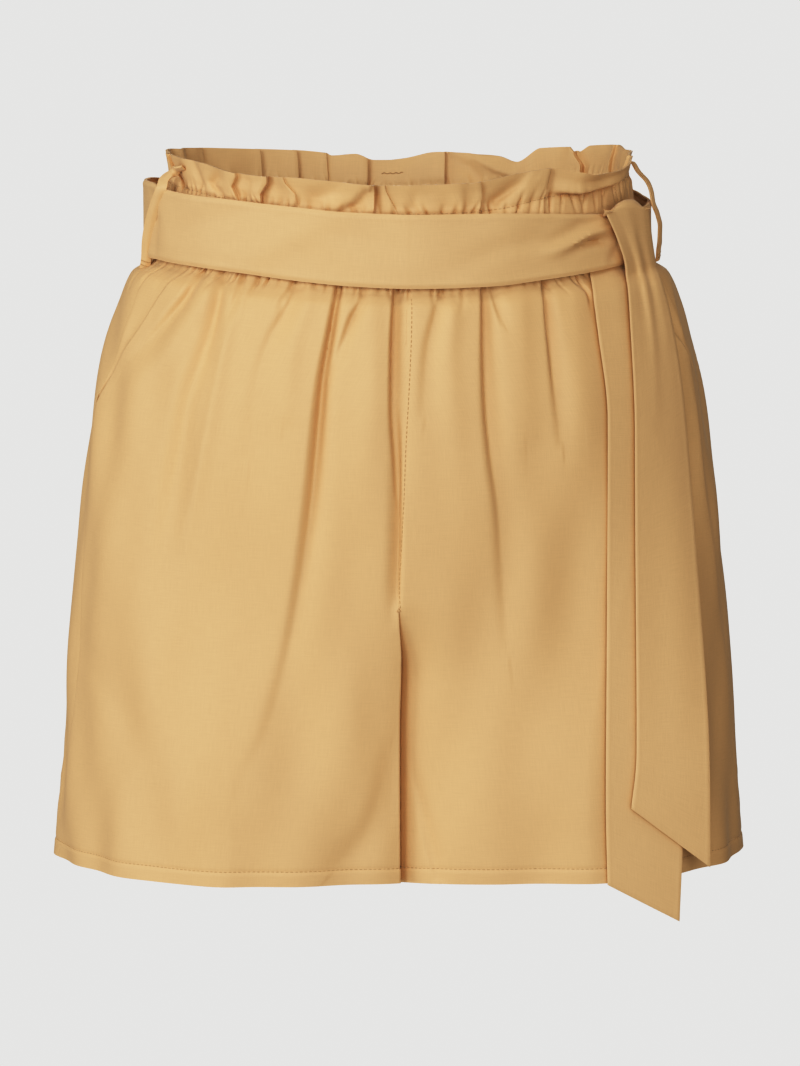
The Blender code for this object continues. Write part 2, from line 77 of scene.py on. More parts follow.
# Cloth
CLOTH = 0.9
HEM_CLOTH = 1.7
HEM_HEIGHT = 8.0
HEM_GROOVE = 0.35
HEM_GROOVE_WIDTH = 0.9
HEM_PROUD = 0.3
HEM_EDGE = 1.5
FRILL_CLOTH = 1.3
FRILL_CLOTH_EASE = 0.25
POCKET_CLOTH = 0.8
BELT_CLOTH = 1.5
TAIL_CLOTH = 1.2
LOOP_CLOTH = 1.0
WAIST_SEAM_GAP = 0.3
SEAM_TRIM = 0.02
SEAM_SINK = 0.15
SEAM_SINK_WIDTH = 0.9

# Outline of the body at each height: half the width, and how far it reaches forward and back
BODY = named_rows(
    "z half_width front back",
    (-346, 188.8, 110.5, 114.0), (-285, 184.4, 110.0, 115.0), (-225, 179.6, 111.0, 119.0),
    (-177, 175.7, 112.0, 123.0), (-128, 170.4, 112.5, 124.5), (-90, 164.3, 111.5, 122.0),
    (-62, 157.7, 109.0, 117.0), (-45, 152.5, 106.5, 112.0), (-29, 145.5, 103.0, 106.0),
    (-22, 135.0, 97.5, 99.0), (-17, 131.0, 95.5, 97.0),
)
WAISTBAND = named_rows(
    "z half_width front back",
    (-17, 131.0, 95.5, 97.0), (-8, 128.5, 96.5, 96.5), (8, 127.0, 96.0, 95.5), (23, 126.0, 94.5, 94.5),
    (30, 127.0, 95.5, 95.5), (38, 129.0, 98.0, 98.0),
)
BELT_RING = (138.5, 101.0, 102.5)

# Angles, in degrees on the leg's outline, from its outermost point round to the front
SIDE_SEAM = named_rows(
    "z angle",
    (-346, 12), (-230, 19), (-150, 20), (-98, 20), (-80, 27), (-62, 33), (-45, 36), (-17, 34),
)
POCKET_MOUTH = named_rows(
    "z angle",
    (-98, 20), (-75, 34), (-54, 48), (-36, 56), (-17, 62),
)
POCKET_FACING_END_Z = -118.0
POCKET_FACING_UNDERLAP = 11.0
POCKET_FACING_SINK = 1.2
POCKET_EDGE_LIFT = 0.54
POCKET_EDGE_WIDTH = 5.0
POCKET_EDGE_EASE = 12.0
POCKET_OPEN_MM = 1.4
POCKET_SINK_SHARE = 1.3
POCKET_FOLD_SHARE = 0.4

# The centre seam and the gap between the legs drift to the wearer's right on their way down
CENTRE_DRIFT = named_rows(
    "z x",
    (-346, -4.9), (-262, -5.1), (-230, -4.4), (-206, -6.0), (-192, -6.5), (-157, -5.0), (-115, -3.8),
    (-76, -1.9), (-45, -0.5), (-28, 0.0),
)
DRIFT_REACH = 60.0
DRIFT_START_Y = 80.0

Crease = namedtuple("Crease", "before after spread course")


def creases(*rows):
    """Creases from rows of three widths and a course.

    The widths are those on the -x and +x side at the start, and what both are multiplied by at the end. Each
    point of the course is (x or place round the ring, z, depth), depth > 0 for a trough and < 0 for a ridge.
    """
    return tuple(Crease(*row[:3], row[3:]) for row in rows)


FRONT_CREASES = creases(
    # the pleats that start sharp under the belt, from the wearer's right to the left
    (2.0, 4, 2.2, (-124, -22, 2.2), (-131, -29, 2.0), (-134, -40, 0.6)),
    (1.4, 4, 3.0, (-110, -24, 3.6), (-118, -37, 4.0), (-126, -48, 3.4), (-136, -60, 2.4), (-152, -80, 0.8)),
    (2.6, 4.0, 3.6, (-98, -24, 3.4), (-103, -44, 4.0), (-109, -66, 3.8), (-117, -91, 3.6),
     (-122, -118, 3.2), (-127, -150, 2.0), (-132, -185, 0.6)),
    (0.8, 2.2, 2.4, (-88, -26, 2.8), (-90, -33, 2.4), (-94, -46, 0.4)),
    (1.0, 3.4, 5.6, (-60, -31, 3.4), (-65, -43, 2.8), (-73, -57, 1.8), (-80, -80, 1.2), (-84, -118, 0.4)),
    (0.9, 2.4, 6.6, (-38, -31, 4.4), (-43, -57, 5.2), (-47, -79, 6.0), (-49, -99, 6.4), (-52, -136, 5.8),
     (-56, -173, 4.4), (-61, -207, 3.0), (-66, -232, 1.8), (-76, -266, 1.0), (-88, -290, 0.5),
     (-99, -324, 0.2)),
    (1.0, 2.2, 2.4, (-25, -37, 2.0), (-31, -47, 3.0), (-35, -58, 2.4), (-42, -76, 0.8)),
    (0.8, 6.0, 1.3, (-8, -31, 5.2), (-10, -62, 5.6), (-10.4, -94, 4.6), (-8.8, -120, 2.4),
     (-7.6, -140, 0.6)),
    (3.6, 1.4, 1.3, (-7.4, -96, 0.3), (-6.6, -118, 2.2), (-6.4, -157, 3.6), (-7.2, -186, 3.0),
     (-7.4, -204, 0.8)),
    (1.2, 2.4, 3.4, (17, -33, 2.2), (13, -46, 2.2), (9, -64, 1.8), (7, -95, 0.8)),
    (0.9, 3.0, 5.2, (39, -32, 4.6), (39, -58, 5.0), (40, -89, 4.8), (43, -120, 4.0), (47, -147, 3.2),
     (50, -190, 1.8), (52, -222, 0.5)),
    (1.2, 2.4, 1.6, (44, -32, 2.4), (46, -40, 2.6), (49, -49, 0.8)),
    (0.8, 2.4, 3.8, (72, -27, 4.4), (73, -45, 4.4), (75, -66, 3.6), (77, -86, 2.4), (80, -112, 0.8)),
    # ridges between them
    (7, 5, 1.8, (-86, -36, -1.4), (-96, -58, -2.0), (-102, -92, -1.6), (-110, -130, -1.2),
     (-122, -168, -0.5)),
    (6, 4, 1.6, (-54, -38, -1.4), (-62, -62, -1.6), (-66, -96, -1.0)),
    (6, 4, 1.6, (-104, -30, -1.2), (-113, -48, -1.6), (-126, -64, -1.2), (-142, -82, -0.5)),
    (6, 6, 1.8, (-20, -40, -1.2), (-20, -70, -1.6), (-22, -110, -1.2), (-24, -150, -0.6)),
    (5, 5, 1.8, (22, -44, -1.5), (20, -66, -1.4), (22, -104, -1.0), (26, -150, -0.4)),
    (7, 5, 1.8, (58, -38, -1.2), (58, -66, -1.4), (60, -104, -0.9)),
    (6, 8, 1.8, (88, -34, -1.2), (90, -58, -1.4), (92, -96, -0.7)),
    # soft creases low on the legs
    (7, 12, 1.4, (-176, -226, 0.8), (-161, -247, 1.6), (-142, -278, 0.5)),
    (5, 8, 1.4, (-11, -276, 0.5), (-16, -302, 1.6), (-23, -320, 2.0), (-38, -336, 0.9)),
    (1.8, 3.4, 1.5, (2, -286, 0.3), (7.6, -312, 1.7), (12, -330, 1.9), (15, -342, 1.2)),
    (3.4, 3.6, 1.6, (-93, -50, -0.6), (-99, -74, -1.2), (-106, -111, -1.2), (-118, -165, -0.4)),
    (18, 18, 1.2, (-112, -190, 0.8), (-120, -250, 1.4), (-118, -330, 0.8)),
    (16, 16, 1.2, (88, -170, 0.5), (84, -240, 1.2), (80, -330, 0.6)),
    (16, 14, 1.2, (-40, -240, -0.6), (-44, -300, -1.2), (-46, -340, -0.8)),
    (14, 14, 1.2, (46, -250, -0.4), (44, -300, -1.0), (44, -340, -0.8)),
    # the wearer's left side turns away behind a soft edge
    (10, 5, 1.0, (143, -28, -1.6), (147, -50, -2.0), (154, -89, -2.0), (157, -112, -2.0), (160, -139, -2.0),
     (165, -170, -1.6), (175, -238, -1.2), (182, -281, -0.8), (187, -329, -0.4)),
)
BACK_CREASES = creases(
    (3.0, 6, 2.2, (-118, -24, 3.0), (-124, -48, 3.0), (-134, -78, 1.8), (-146, -108, 0.5)),
    (2.6, 5, 3.2, (-92, -25, 4.0), (-96, -60, 3.8), (-106, -104, 3.0), (-114, -150, 2.0),
     (-120, -210, 0.8)),
    (2.2, 3.6, 2.4, (-70, -27, 3.2), (-72, -48, 2.6), (-76, -80, 1.0)),
    (1.6, 4.6, 3.6, (-50, -27, 4.4), (-54, -70, 4.4), (-60, -120, 3.6), (-64, -180, 2.4), (-70, -250, 1.0)),
    (3.0, 2.0, 2.2, (-27, -28, 3.0), (-30, -58, 2.6), (-28, -92, 0.9)),
    (4.4, 1.6, 2.6, (-9, -28, 3.6), (-12, -64, 3.6), (-14, -108, 2.4), (-12, -150, 1.0)),
    (2.0, 3.6, 2.0, (16, -28, 3.0), (18, -54, 2.4), (16, -90, 0.8)),
    (1.5, 4.8, 3.6, (35, -27, 4.4), (38, -72, 4.2), (41, -124, 3.4), (42, -186, 2.2), (46, -260, 0.8)),
    (3.4, 2.2, 2.2, (58, -27, 3.0), (60, -52, 2.6), (66, -88, 0.9)),
    (2.0, 4.4, 2.8, (76, -25, 4.0), (80, -60, 3.8), (88, -106, 2.8), (94, -160, 1.2)),
    (3.0, 5.0, 2.6, (106, -24, 3.4), (110, -54, 3.2), (119, -104, 2.6), (124, -170, 1.8), (128, -240, 0.7)),
    (7, 7, 1.6, (-80, -40, -1.4), (-84, -90, -1.8), (-92, -150, -1.2), (-96, -220, -0.5)),
    (7, 7, 1.6, (-38, -40, -1.4), (-42, -90, -1.8), (-46, -150, -1.0)),
    (7, 7, 1.6, (24, -44, -1.4), (27, -96, -1.6), (28, -170, -0.8)),
    (8, 7, 1.6, (90, -44, -1.4), (100, -110, -1.8), (106, -180, -1.0)),
    (16, 14, 1.2, (-130, -250, 0.8), (-124, -300, 1.4), (-122, -340, 0.8)),
    (14, 16, 1.2, (84, -230, 0.6), (78, -290, 1.5), (76, -340, 0.8)),
)
# Short gathers where the cloth is drawn into the waist seam, drawn at random between these limits, over a
# ring of this length
RING_LENGTH = 730.0
GATHER_SPACING = (3.4, 8.0)
GATHER_DEPTH = (1.0, 2.8)
GATHER_WIDTH = (0.5, 1.1)
GATHER_LENGTH = (6.0, 28.0)
GATHER_SLANT = 0.18
GATHER_TOP_Z = -14.0
# How far above the waist seam the gathers still run in the casing
SEAM_FOLD_HEIGHT = 12.0
CREASE_START_Z = -40.0
CREASE_SIDE_FADE = 1.6
# Long soft unevenness of the cloth
RIPPLES = 14
RIPPLE_DEPTH = 0.32
RIPPLE_WAVE = (38.0, 110.0)
# They fade in below the waist seam, and away from the middle, over these lengths
RIPPLE_FADE_Z = 60.0
RIPPLE_FADE_X = 30.0
# The frill's and the belt's own: how many, how deep, and between which wave lengths
RIPPLE_STRETCH = 2.4
FRILL_RIPPLE = (8, 0.25, (14.0, 50.0))
BELT_RIPPLE = (10, 0.175, (30.0, 120.0))

# Frill: how far the top edge is above or below the even edge, round from the centre front towards +X
FRILL_EDGE = named_rows(
    "angle rise",
    (-180, -2.8), (-176, -2.9), (-171, 0.6), (-165, -0.6), (-163.5, 0.8), (-155, 1.7), (-145, 1.3),
    (-130, 0.4), (-116, -0.6), (-100, -1.6), (-80, -2.2), (-57, -2.1), (-43, -4.2), (-35, -3.6),
    (-27, -2.4), (-19, -2.5), (-9, -3.5), (9, -3.1), (16, -3.0), (22, -1.7), (28, 0.0), (35, 0.4),
    (41, -2.4), (49, -6.6), (55, -6.6), (63, -4.6), (78, -2.0), (90, -1.6), (100, -1.9), (112, 0.4),
    (123, 0.6), (127.5, -2.4), (130, 0.6), (140, 1.0), (146, -5.0), (152, -2.0), (162, 0.4), (169, 1.4),
    (176, -1.6), (180, -2.8),
)
# Height of the stitch line between casing and frill, before the waist's sag
CASING_STITCH = named_rows(
    "angle z",
    (-180, 20.0), (-90, 20.0), (-46, 19.2), (20, 19.4), (35, 22.6), (60, 23.6), (100, 22.0), (180, 20.0),
)
# Sharp edges of the frill's panels, as (angle, height): each stands over the next panel by its jump
FrillStep = namedtuple("FrillStep", "jump course")
FRILL_STEPS = {
    "front": (
        FrillStep(2.4, ((-71, 16), (-73, 26), (-79, 40))),
        FrillStep(3.2, ((-44.6, 14), (-45.0, 20), (-46.4, 28), (-44.4, 35), (-44.2, 40))),
        FrillStep(4.6, ((-37.5, 14), (-37.8, 26), (-35.4, 34), (-35, 40))),
        FrillStep(1.5, ((-27.4, 14), (-27.8, 28), (-30.2, 34), (-30.8, 40))),
        FrillStep(4.4, ((-8.8, 14), (-8.4, 40))),
        FrillStep(1.3, ((-2.4, 14), (-3.2, 22), (-5.5, 34), (-5.9, 40))),
        FrillStep(3.8, ((16.8, 14), (17.4, 28), (16.8, 36), (16.4, 40))),
        FrillStep(4.0, ((34.6, 14), (34.8, 24), (35.4, 40))),
        FrillStep(2.4, ((68, 14), (70, 28), (73, 40))),
    ),
    "back": (
        FrillStep(2.4, ((110.3, 14), (110.3, 40))),
        FrillStep(4.4, ((123.8, 14), (124.4, 28), (127.6, 36), (128.6, 40))),
        FrillStep(4.0, ((166.2, 14), (166.6, 40))),
        FrillStep(5.0, ((186.7, 14), (186.2, 40))),
        FrillStep(1.6, ((196.4, 14), (196.4, 40))),
        FrillStep(4.2, ((205.3, 14), (204.9, 40))),
        FrillStep(4.2, ((216.3, 14), (215.8, 40))),
        FrillStep(2.2, ((238.2, 14), (236, 40))),
    ),
}
STEP_EDGE = 0.8
STEP_WALL = 0.3
STEP_LEAN = 0.12
STEP_LIP = 0.1
STEP_SHARE_IN_CASING = 0.5
STEP_START_Z = -6.0
STEP_START_EASE = 12.0
STEP_MIDDLE_Z = 28.0
COLUMN_DENSITY = 2.2
COLUMN_REACH = 1.7
# Soft folds of the frill: (angle, height, depth), with the widths in degrees on each side
FRILL_CREASES = creases(
    (1.2, 2.2, 1, (-68, 18, 2.6), (-76, 28, 3.2), (-84, 40, 2.6)),
    (1.4, 1.8, 1, (-62, 18, 0.8), (-59, 26, 1.6), (-61, 38, 0.8)),
    (1.8, 1.0, 1, (-50.8, 20, 1.6), (-54.2, 27, 2.6), (-51, 33, 2.2), (-48.6, 40, 0.8)),
    (1.0, 1.6, 1, (-41.4, 16, 2.4), (-42, 24, 1.4), (-41, 33, 0.6)),
    (2.2, 1.2, 1, (-33.4, 14, 2.2), (-32.4, 22, 1.4), (-33, 32, 0.4)),
    (2.0, 2.6, 1, (-24.6, 18, 2.4), (-22.8, 27, 2.6), (-18.6, 32, 1.2)),
    (3.2, 1.1, 1, (-17.6, 16, 3.0), (-15.6, 20, 3.8), (-12.6, 25, 3.8), (-10, 33, 2.6)),
    (1.0, 1.4, 1, (0.6, 14, 2.0), (0.9, 24, 1.2), (1.4, 34, 0.2)),
    (2.0, 2.4, 1, (8.4, 14, 2.4), (9.2, 23, 1.6), (8.2, 34, 0.4)),
    (2.4, 1.0, 1, (13.6, 14, 2.6), (14.2, 24, 2.2), (13.4, 36, 0.6)),
    (1.2, 2.4, 1, (20.8, 16, 3.6), (22, 25, 3.8), (27, 32, 2.2), (29.4, 40, 0.4)),
    (2.6, 1.2, 1, (30.4, 14, 2.4), (31.2, 22, 1.2), (32, 32, -0.4)),
    (2.4, 2.6, 1, (38, 36, 0.3), (43, 31, 1.6), (50, 31, 2.2), (58, 34, 1.0)),
    (6.0, 6.0, 1, (80, 20, 0.8), (80, 30, 1.4), (79, 40, 1.6)),
    (8, 10, 1, (91, 16, 0.6), (90, 26, 2.4), (91, 40, 3.4)),
    (5.0, 5.0, 1, (101, 20, 1.2), (102, 30, 1.8), (102, 40, 1.8)),
    (5, 3, 1, (144, 20, 1.2), (146, 30, 3.2), (146.4, 42, 4.0)),
    (2.6, 2.0, 1, (157, 24, -1.8), (161, 30, -2.6), (167, 35, -0.8)),
    (1.6, 2.2, 1, (147, 27, 1.0), (152, 30, 2.6), (158, 36, 1.8)),
    (2.0, 2.0, 1, (177, 14, 1.0), (178, 26, 0.8), (178, 38, 0.2)),
    (2.6, 2.6, 1, (226, 14, 1.2), (227, 24, 0.6), (228, 36, 0.2)),
    (3, 2, 1, (251, 16, 0.8), (250, 28, 1.6), (249, 40, 1.4)),
    (8, 8, 1, (-90, 16, 0.6), (-90, 30, 2.6), (-90, 40, 3.2)),
)
FRILL_FOLD_DROP = 0.22
FRILL_SHARE_IN_CASING = 0.25
# From how far below the stitch line, and over which height, the casing's shape turns into the frill's
FRILL_EASE_BELOW = 3.0
FRILL_EASE = 8.0
# The frill bulges forward over its stitch line between these angles
BULGE_ANGLES = (34.9, 45.0, 58.0, 72.0)
BULGE_REACH = 8.5
BULGE_HEIGHT = 5.0
# Its lower edge rises by the tilt over some degrees, and no further than the limit
BULGE_TILT = 5.0
BULGE_TILT_DEGREES = 20.0
BULGE_TILT_LIMIT = 1.4
BULGE_DROOP = 3.2
BULGE_DROOP_HEIGHT = 4.0
BULGE_DROOP_WIDTH = 2.4
CASING_GATHER_SPACING = (3.6, 8.6)
CASING_GATHER_DEPTH = (0.8, 2.2)
CASING_GATHER_WIDTH = (0.7, 1.3)
CASING_GATHER_SLANT = 0.25
# How far above and below the stitch line its gathers reach, and the depth of the line itself
STITCH_PULL_HEIGHT = (4.5, 9.0)
STITCH_GROOVE = 0.7
STITCH_GROOVE_WIDTH = 1.3

# Belt: its edges round the waist from the centre front towards +X, with the sag in them
BELT_EDGES = named_rows(
    "angle top low",
    (-180, 10.8, -28.8), (-135, 15.2, -24.2), (-100, 21.0, -20.0), (-78, 20.6, -20.0), (-66, 17.4, -20.8),
    (-41, 13.8, -24.0), (-26, 11.1, -27.4), (-13, 8.6, -30.0), (2, 7.4, -31.3), (19, 7.6, -30.4),
    (31, 7.0, -27.8), (45, 5.6, -24.8), (53, 5.0, -23.0), (64, 6.5, -20.8), (76, 8.6, -20.4),
    (98, 10.6, -21.4), (114, 14.0, -21.8), (135, 15.2, -24.2), (180, 10.8, -28.8),
)
# Creases in the belt: (angle, z, depth), widths in millimetres
BELT_CREASES = creases(
    (3.0, 2.4, 1.0, (30, -14, -0.3), (34, -12.4, -1.8), (40, -8.4, -2.8), (45, -4.2, -2.8),
     (52, -1.2, -2.0)),
    (2.4, 2.4, 1.0, (37, -14.5, 0.6), (43, -9.5, 3.0), (47, -8.6, 3.2), (53, -9.5, 1.4)),
    (3.6, 3.6, 1.0, (26, -10, 0.4), (34, -6.5, 1.2), (42, 0.5, 1.2), (50, 3.0, 0.8)),
    (5, 6, 1.0, (8, -22, 0.2), (18, -13, 0.9), (28, -5, 0.9), (34, 2, 0.3)),
    (4, 3, 1.0, (52, -18, 0.8), (55, -12, 1.6), (56, -4, 1.4)),
    (6, 6, 1.0, (-62, -6, 0.5), (-52, 2, 0.9), (-40, 6, 0.6)),
    (7, 7, 1.0, (-34, -14, -0.5), (-26, -4, -0.8), (-18, 4, -0.5)),
    (5, 6, 1.0, (-20, 0, 0.3), (-10, -6, 0.8), (-2, -14, 0.4)),
    (6, 6, 1.0, (-60, -14, -0.3), (-48, -12, -0.6), (-36, -16, -0.3)),
    (5, 5, 1.0, (-76, 12, 1.2), (-72, 0, 1.2), (-74, -14, 0.6)),
    (6, 6, 1.0, (100, 6, 0.9), (112, -2, 1.1), (126, -10, 0.5)),
    (6, 6, 1.0, (140, 4, -0.5), (152, -8, -0.9), (166, -16, -0.4)),
    (6, 6, 1.0, (-170, -6, 0.5), (-156, -10, 0.9), (-142, -2, 0.5)),
    (6, 6, 1.0, (-128, 8, -0.4), (-116, -4, -0.9), (-104, -12, -0.4)),
)
BELT_MM_PER_DEGREE = BELT_RING[0] * math.pi / 180.0 * 0.88
BELT_EDGE_FALL = 0.6
BELT_EDGE_ROUND = 1.2
# The turned-in edge stands proud: by how much, how far from the edge and how wide
BELT_EDGE_RISE = (0.25, 2.2, 1.2)
# The belt leans back under the knot's pull, and lies closer in beside the knot: by how much and where
BELT_TILT = 1.2
BELT_TILT_ANGLES = (-30.0, 10.0, 62.0, 92.0)
BELT_INSET = 2.2
BELT_INSET_ANGLES = (68.0, 84.0, 98.0, 120.0)

# Belt tails, from the knot down: height and x of the left edge and of the right edge as seen from the
# front, and the rise over the even lift
FRONT_TAIL = (
    (8, 104, 8, 130.5, 1.4), (-9, 112, -10, 133, 1.4), (-24, 116.5, -25, 136, 1.4),
    (-52, 118, -48, 142, 0.6), (-107, 120, -89, 148.5, 0.0), (-188, 120, -184, 155.5, 0.0),
    (-276, 119.5, -280, 159.5, 0.0), (-306, 116.5, -340, 160, 0.0),
)
BACK_TAIL = (
    (-16, 97, -12, 128, -5.0), (-25, 97, -20.5, 129, -5.0), (-31, 97.5, -26.5, 131, 0.9),
    (-38, 98, -36, 133, 0.7), (-55, 100, -56, 136, 0.0), (-101, 105, -104, 141, 0.0),
    (-195, 104.5, -204, 144.5, 0.0), (-301, 103, -318, 145, 0.0), (-346.5, 104, -368.5, 143.5, 0.0),
)
BACK_TAIL_LIFT = 2.6
FRONT_TAIL_LIFT = 4.8
TAIL_TOP_Z = 12.5
TAIL_TOP_DROP = 7.0
TAIL_TOP_DROP_END = 0.5
TAIL_TOP_SLOPE = 6.0
TAIL_TOP_SLOPE_START = 0.6
TAIL_BEND_HEIGHT = 3.0
TAIL_TUCK = 14.0
TAIL_GAP = 0.8
TAIL_TURN_X = 103.0
TAIL_TURN_START_Z = -110.0
TAIL_TURN_END_Z = -300.0
TAIL_TURN_SHARE = 0.85
TAIL_TURN_SLOPE = 0.18
TAIL_WIDTH = 40.0
# The bed under the tails is measured from the side seam round to this turn, and between levels this far apart
BED_END_TURN = math.pi / 2.0 + 0.4
BED_SAMPLES = 500
BED_STEP = 2.0
TAIL_EDGE_WIDTH = 1.3
TAIL_EDGE_RISE = 0.15
TAIL_EDGE_RISE_WIDTH = 0.9
TAIL_EDGE_FALL = 0.35
TAIL_EDGE_FALL_WIDTH = 0.5
TAIL_END_RISE = 0.4
TAIL_END_WIDTH = 1.4
TAIL_END_FALL_WIDTH = 0.6
TAIL_DEPTH_SHARE = 1.15
# Creases of the tails: (share of the width, z, depth), widths as shares of the width
FRONT_TAIL_CREASES = creases(
    (0.11, 0.07, 2.0, (0.24, 6, 0.2), (0.30, -18, 0.7), (0.36, -46, 0.8), (0.40, -80, 0.2)),
    (0.09, 0.12, 1.8, (0.50, 6, -0.3), (0.50, -26, -0.6), (0.50, -60, -0.5), (0.50, -96, -0.1)),
    (0.06, 0.11, 2.0, (0.60, -8, 0.3), (0.64, -30, 0.9), (0.62, -58, 0.9), (0.56, -110, 0.2)),
    (0.12, 0.10, 1.6, (0.86, 4, -0.4), (0.84, -24, -0.6), (0.80, -60, -0.3)),
    (0.30, 0.30, 1.0, (0.25, -140, 0.2), (0.30, -210, 0.7), (0.35, -290, 0.3)),
    (0.25, 0.25, 1.0, (0.70, -120, -0.2), (0.72, -190, -0.6), (0.60, -260, -0.3)),
)
BACK_TAIL_CREASES = creases(
    (0.16, 0.14, 1.4, (0.70, -24, 1.4), (0.76, -50, 1.6), (0.80, -84, 0.6)),
    (0.14, 0.16, 1.4, (0.40, -24, -0.6), (0.42, -50, -0.6), (0.45, -84, -0.2)),
    (0.30, 0.30, 1.0, (0.35, -150, 0.2), (0.30, -230, 0.6), (0.35, -320, 0.3)),
)

# Belt loops: facing is the way in which the strap is wide; each path is (angle, z, lift over the belt's ring)
Loop = namedtuple("Loop", "node facing path")
LOOPS = (
    Loop("belt_loop_right", -25.0, (
        (-63.5, 28, -9.0), (-68.5, 26.5, -6.0), (-68.6, 23, -1.0), (-67.6, 19, 1.2), (-70.4, 11, 1.6),
        (-75, -1.5, 1.8), (-78.4, -12.5, 1.6), (-80.6, -21, 1.0), (-82, -27, 1.4),
    )),
    Loop("belt_loop_left", 68.0, (
        (86, 30, -11.5), (84, 26, -9.0), (80, 20, -3.0), (79, 15, -0.6), (78.5, 9, 0.6),
        (80, 2.5, 2.6), (81, -4.5, 3.8), (82, -12, 3.4), (84, -18, 2.6), (85, -23, 2.2),
    )),
    Loop("belt_loop_back", 180.0, (
        (180, 16, -6.5), (180, 14, -5.0), (180, 11.5, 0.4), (180, 8, 1.6), (180, 0, 2.4),
        (180, -10, 2.6), (180, -20, 2.4), (180, -28, 1.6), (180, -31.5, 1.6), (180, -35, 3.4),
    )),
)
LOOP_WIDTH = 5.8
LOOP_CROWN = 0.25
LOOP_COLUMNS = 9
LOOP_STEPS = 60

# Stitches
STITCH_PITCH = 2.5
STITCH_LENGTH = 1.7
STITCH_WIDTH = 0.42
TACK_PITCH = 0.9
TACK_LENGTH = 0.8
TACK_WIDTH = 0.6
TACK_ROWS = (-5, -3)
# A stitch's thickness along its length, and the number of its sides
THREAD_SECTIONS = ((-0.5, 0.35), (-0.3, 1.0), (0.3, 1.0), (0.5, 0.35))
THREAD_SIDES = 6
THREAD_LIFT = 0.1
LABEL_STITCH_LEVEL = 29.0
LABEL_STITCH_REACH = 3.1
LABEL_STITCH_WAVE = 0.55
LABEL_STITCH_TURN = 1.9
CENTRE_STITCH_X = 0.9
CENTRE_STITCH_START_Z = -24.0
CENTRE_STITCH_END_Z = -201.0

# Grids. Rows of a leg panel: the gathers' rows end, the leg's rows and the hem's rows start
GATHER_ROWS_END_Z = -76.0
GATHER_ROW_STEP = 1.25
RISE_ROW_STEP = 2.7
CROTCH_ROWS = 26
LEG_ROWS_START_Z = -231.0
LEG_ROW_STEP = 3.3
HEM_ROWS_START_Z = -330.0
HEM_ROWS = 19
RING_MM_PER_DEGREE = 1.9
SHARP_ANGLE = 62.0
COURSE_STEP = 9.0
COLUMN_SAMPLES = 420
CORNER_SAMPLES = 2000
INNER_SPACING = 2.3
FRONT_COLUMNS = (250, 18)
BACK_COLUMNS = (126, 16)
FACING_COLUMNS = 34
SMALLEST_MOUTH = 0.001
WAISTBAND_COLUMNS = 470
RING_SAMPLES = 3601
CASING_ROWS = 8
FRILL_ROWS_START_Z = 1.5
FRILL_ROWS = 43
BELT_COLUMNS = 520
BELT_ROWS = 28
TAIL_COLUMNS = 34
TAIL_EDGE_DENSITY = 0.10
TAIL_STEP = 2.0
TAIL_BEND_STEPS = 16

# Camera of the photograph
IMAGE_HEIGHT_PX = 1066
MM_PER_PX = 0.545
CAMERA_DISTANCE = 2800.0
CAMERA_AZIMUTH = -3.0
CAMERA_ELEVATION = 7.0
CAMERA_TARGET = (0.0, 0.0, -172.0)
SENSOR = 36.0
CAMERA_CLIP_END_M = 60.0

# Colours, linear
TAN = (0.700, 0.412, 0.182)
BELT_TAN = (0.690, 0.412, 0.186)
THREAD_TAN = (0.420, 0.230, 0.075)
BACKDROP = (0.955, 0.955, 0.935)
# Painted shade in folds: the base colour is darkened and warmed where cloth lies close to other cloth, in
# place of the light passed from cloth to cloth in a fold: how far the cloth looks for its neighbours, between
# which open shares the painted shade grows, and the tint of the deepest painted shade
FOLD_SHADE_SIGHT = 7.0
FOLD_SHADE_OPEN = (0.30, 0.90)
PAINTED_FOLD_SHADE_TINT = (0.70, 0.56, 0.42)
# Soft lights: name, place, size, power and colour. Metres
LIGHTS = (
    ("key", (-1.5, -2.7, 1.0), 1.1, 39.0, (0.97, 1.0, 1.02)),
    ("front", (0.35, -2.9, 0.2), 1.6, 43.0, (1.0, 0.985, 0.965)),
    ("left_side", (-2.6, -0.9, 0.0), 1.4, 32.0, (1.0, 1.0, 1.0)),
    ("top", (-0.3, -1.1, 2.6), 1.2, 16.0, (1.0, 0.95, 0.88)),
    ("back", (0.25, 3.0, -0.1), 0.8, 40.0, (1.0, 1.0, 1.0)),
)
LIGHT_AIM = (0.0, 0.0, -0.17)
WORLD = (1.0, 0.70, 0.42, 1.0)
WORLD_STRENGTH = 0.08
# Radius and height of the backdrop, from the middle of the floor round to the middle of the top. Metres
BACKDROP_PROFILE = (
    (0.0, -1.2), (6.0, -1.2), (10.0, -0.4), (13.0, 4.0), (14.0, 9.0), (9.0, 14.0), (0.0, 16.0),
)
BACKDROP_SIDES = 64
# The photograph's contrast: light levels in and out
CONTRAST = ((0.0, 0.0), (0.05, 0.036), (0.1, 0.082), (0.2, 0.188), (0.3, 0.3), (0.45, 0.455), (0.6, 0.585),
            (0.75, 0.69), (0.9, 0.765), (1.0, 0.8))


# ---- outlines

def smooth(value):
    """Ease from 0 to 1."""
    value = np.clip(value, 0.0, 1.0)
    return value * value * (3.0 - 2.0 * value)


def curve(places, values, at):
    """Values on a smooth curve through a table, flat where the steps turn back."""
    places, values = np.asarray(places, float), np.asarray(values, float)
    steps = np.diff(values) / np.diff(places)
    first, second = np.append(steps[0], steps), np.append(steps, steps[-1])
    turns_back = first * second <= 0.0
    slopes = np.where(turns_back, 0.0, 2.0 * first * second / np.where(turns_back, 1.0, first + second))
    at = np.clip(at, places[0], places[-1])
    low = np.clip(np.searchsorted(places, at, side="right") - 1, 0, len(steps) - 1)
    span = places[low + 1] - places[low]
    part = (at - places[low]) / span
    rise = part * part * (3.0 - 2.0 * part)
    start, end = part * (1.0 - part) ** 2, part * part * (1.0 - part)
    level = values[low] * (1.0 - rise) + values[low + 1] * rise
    return level + span * (slopes[low] * start - slopes[low + 1] * end)


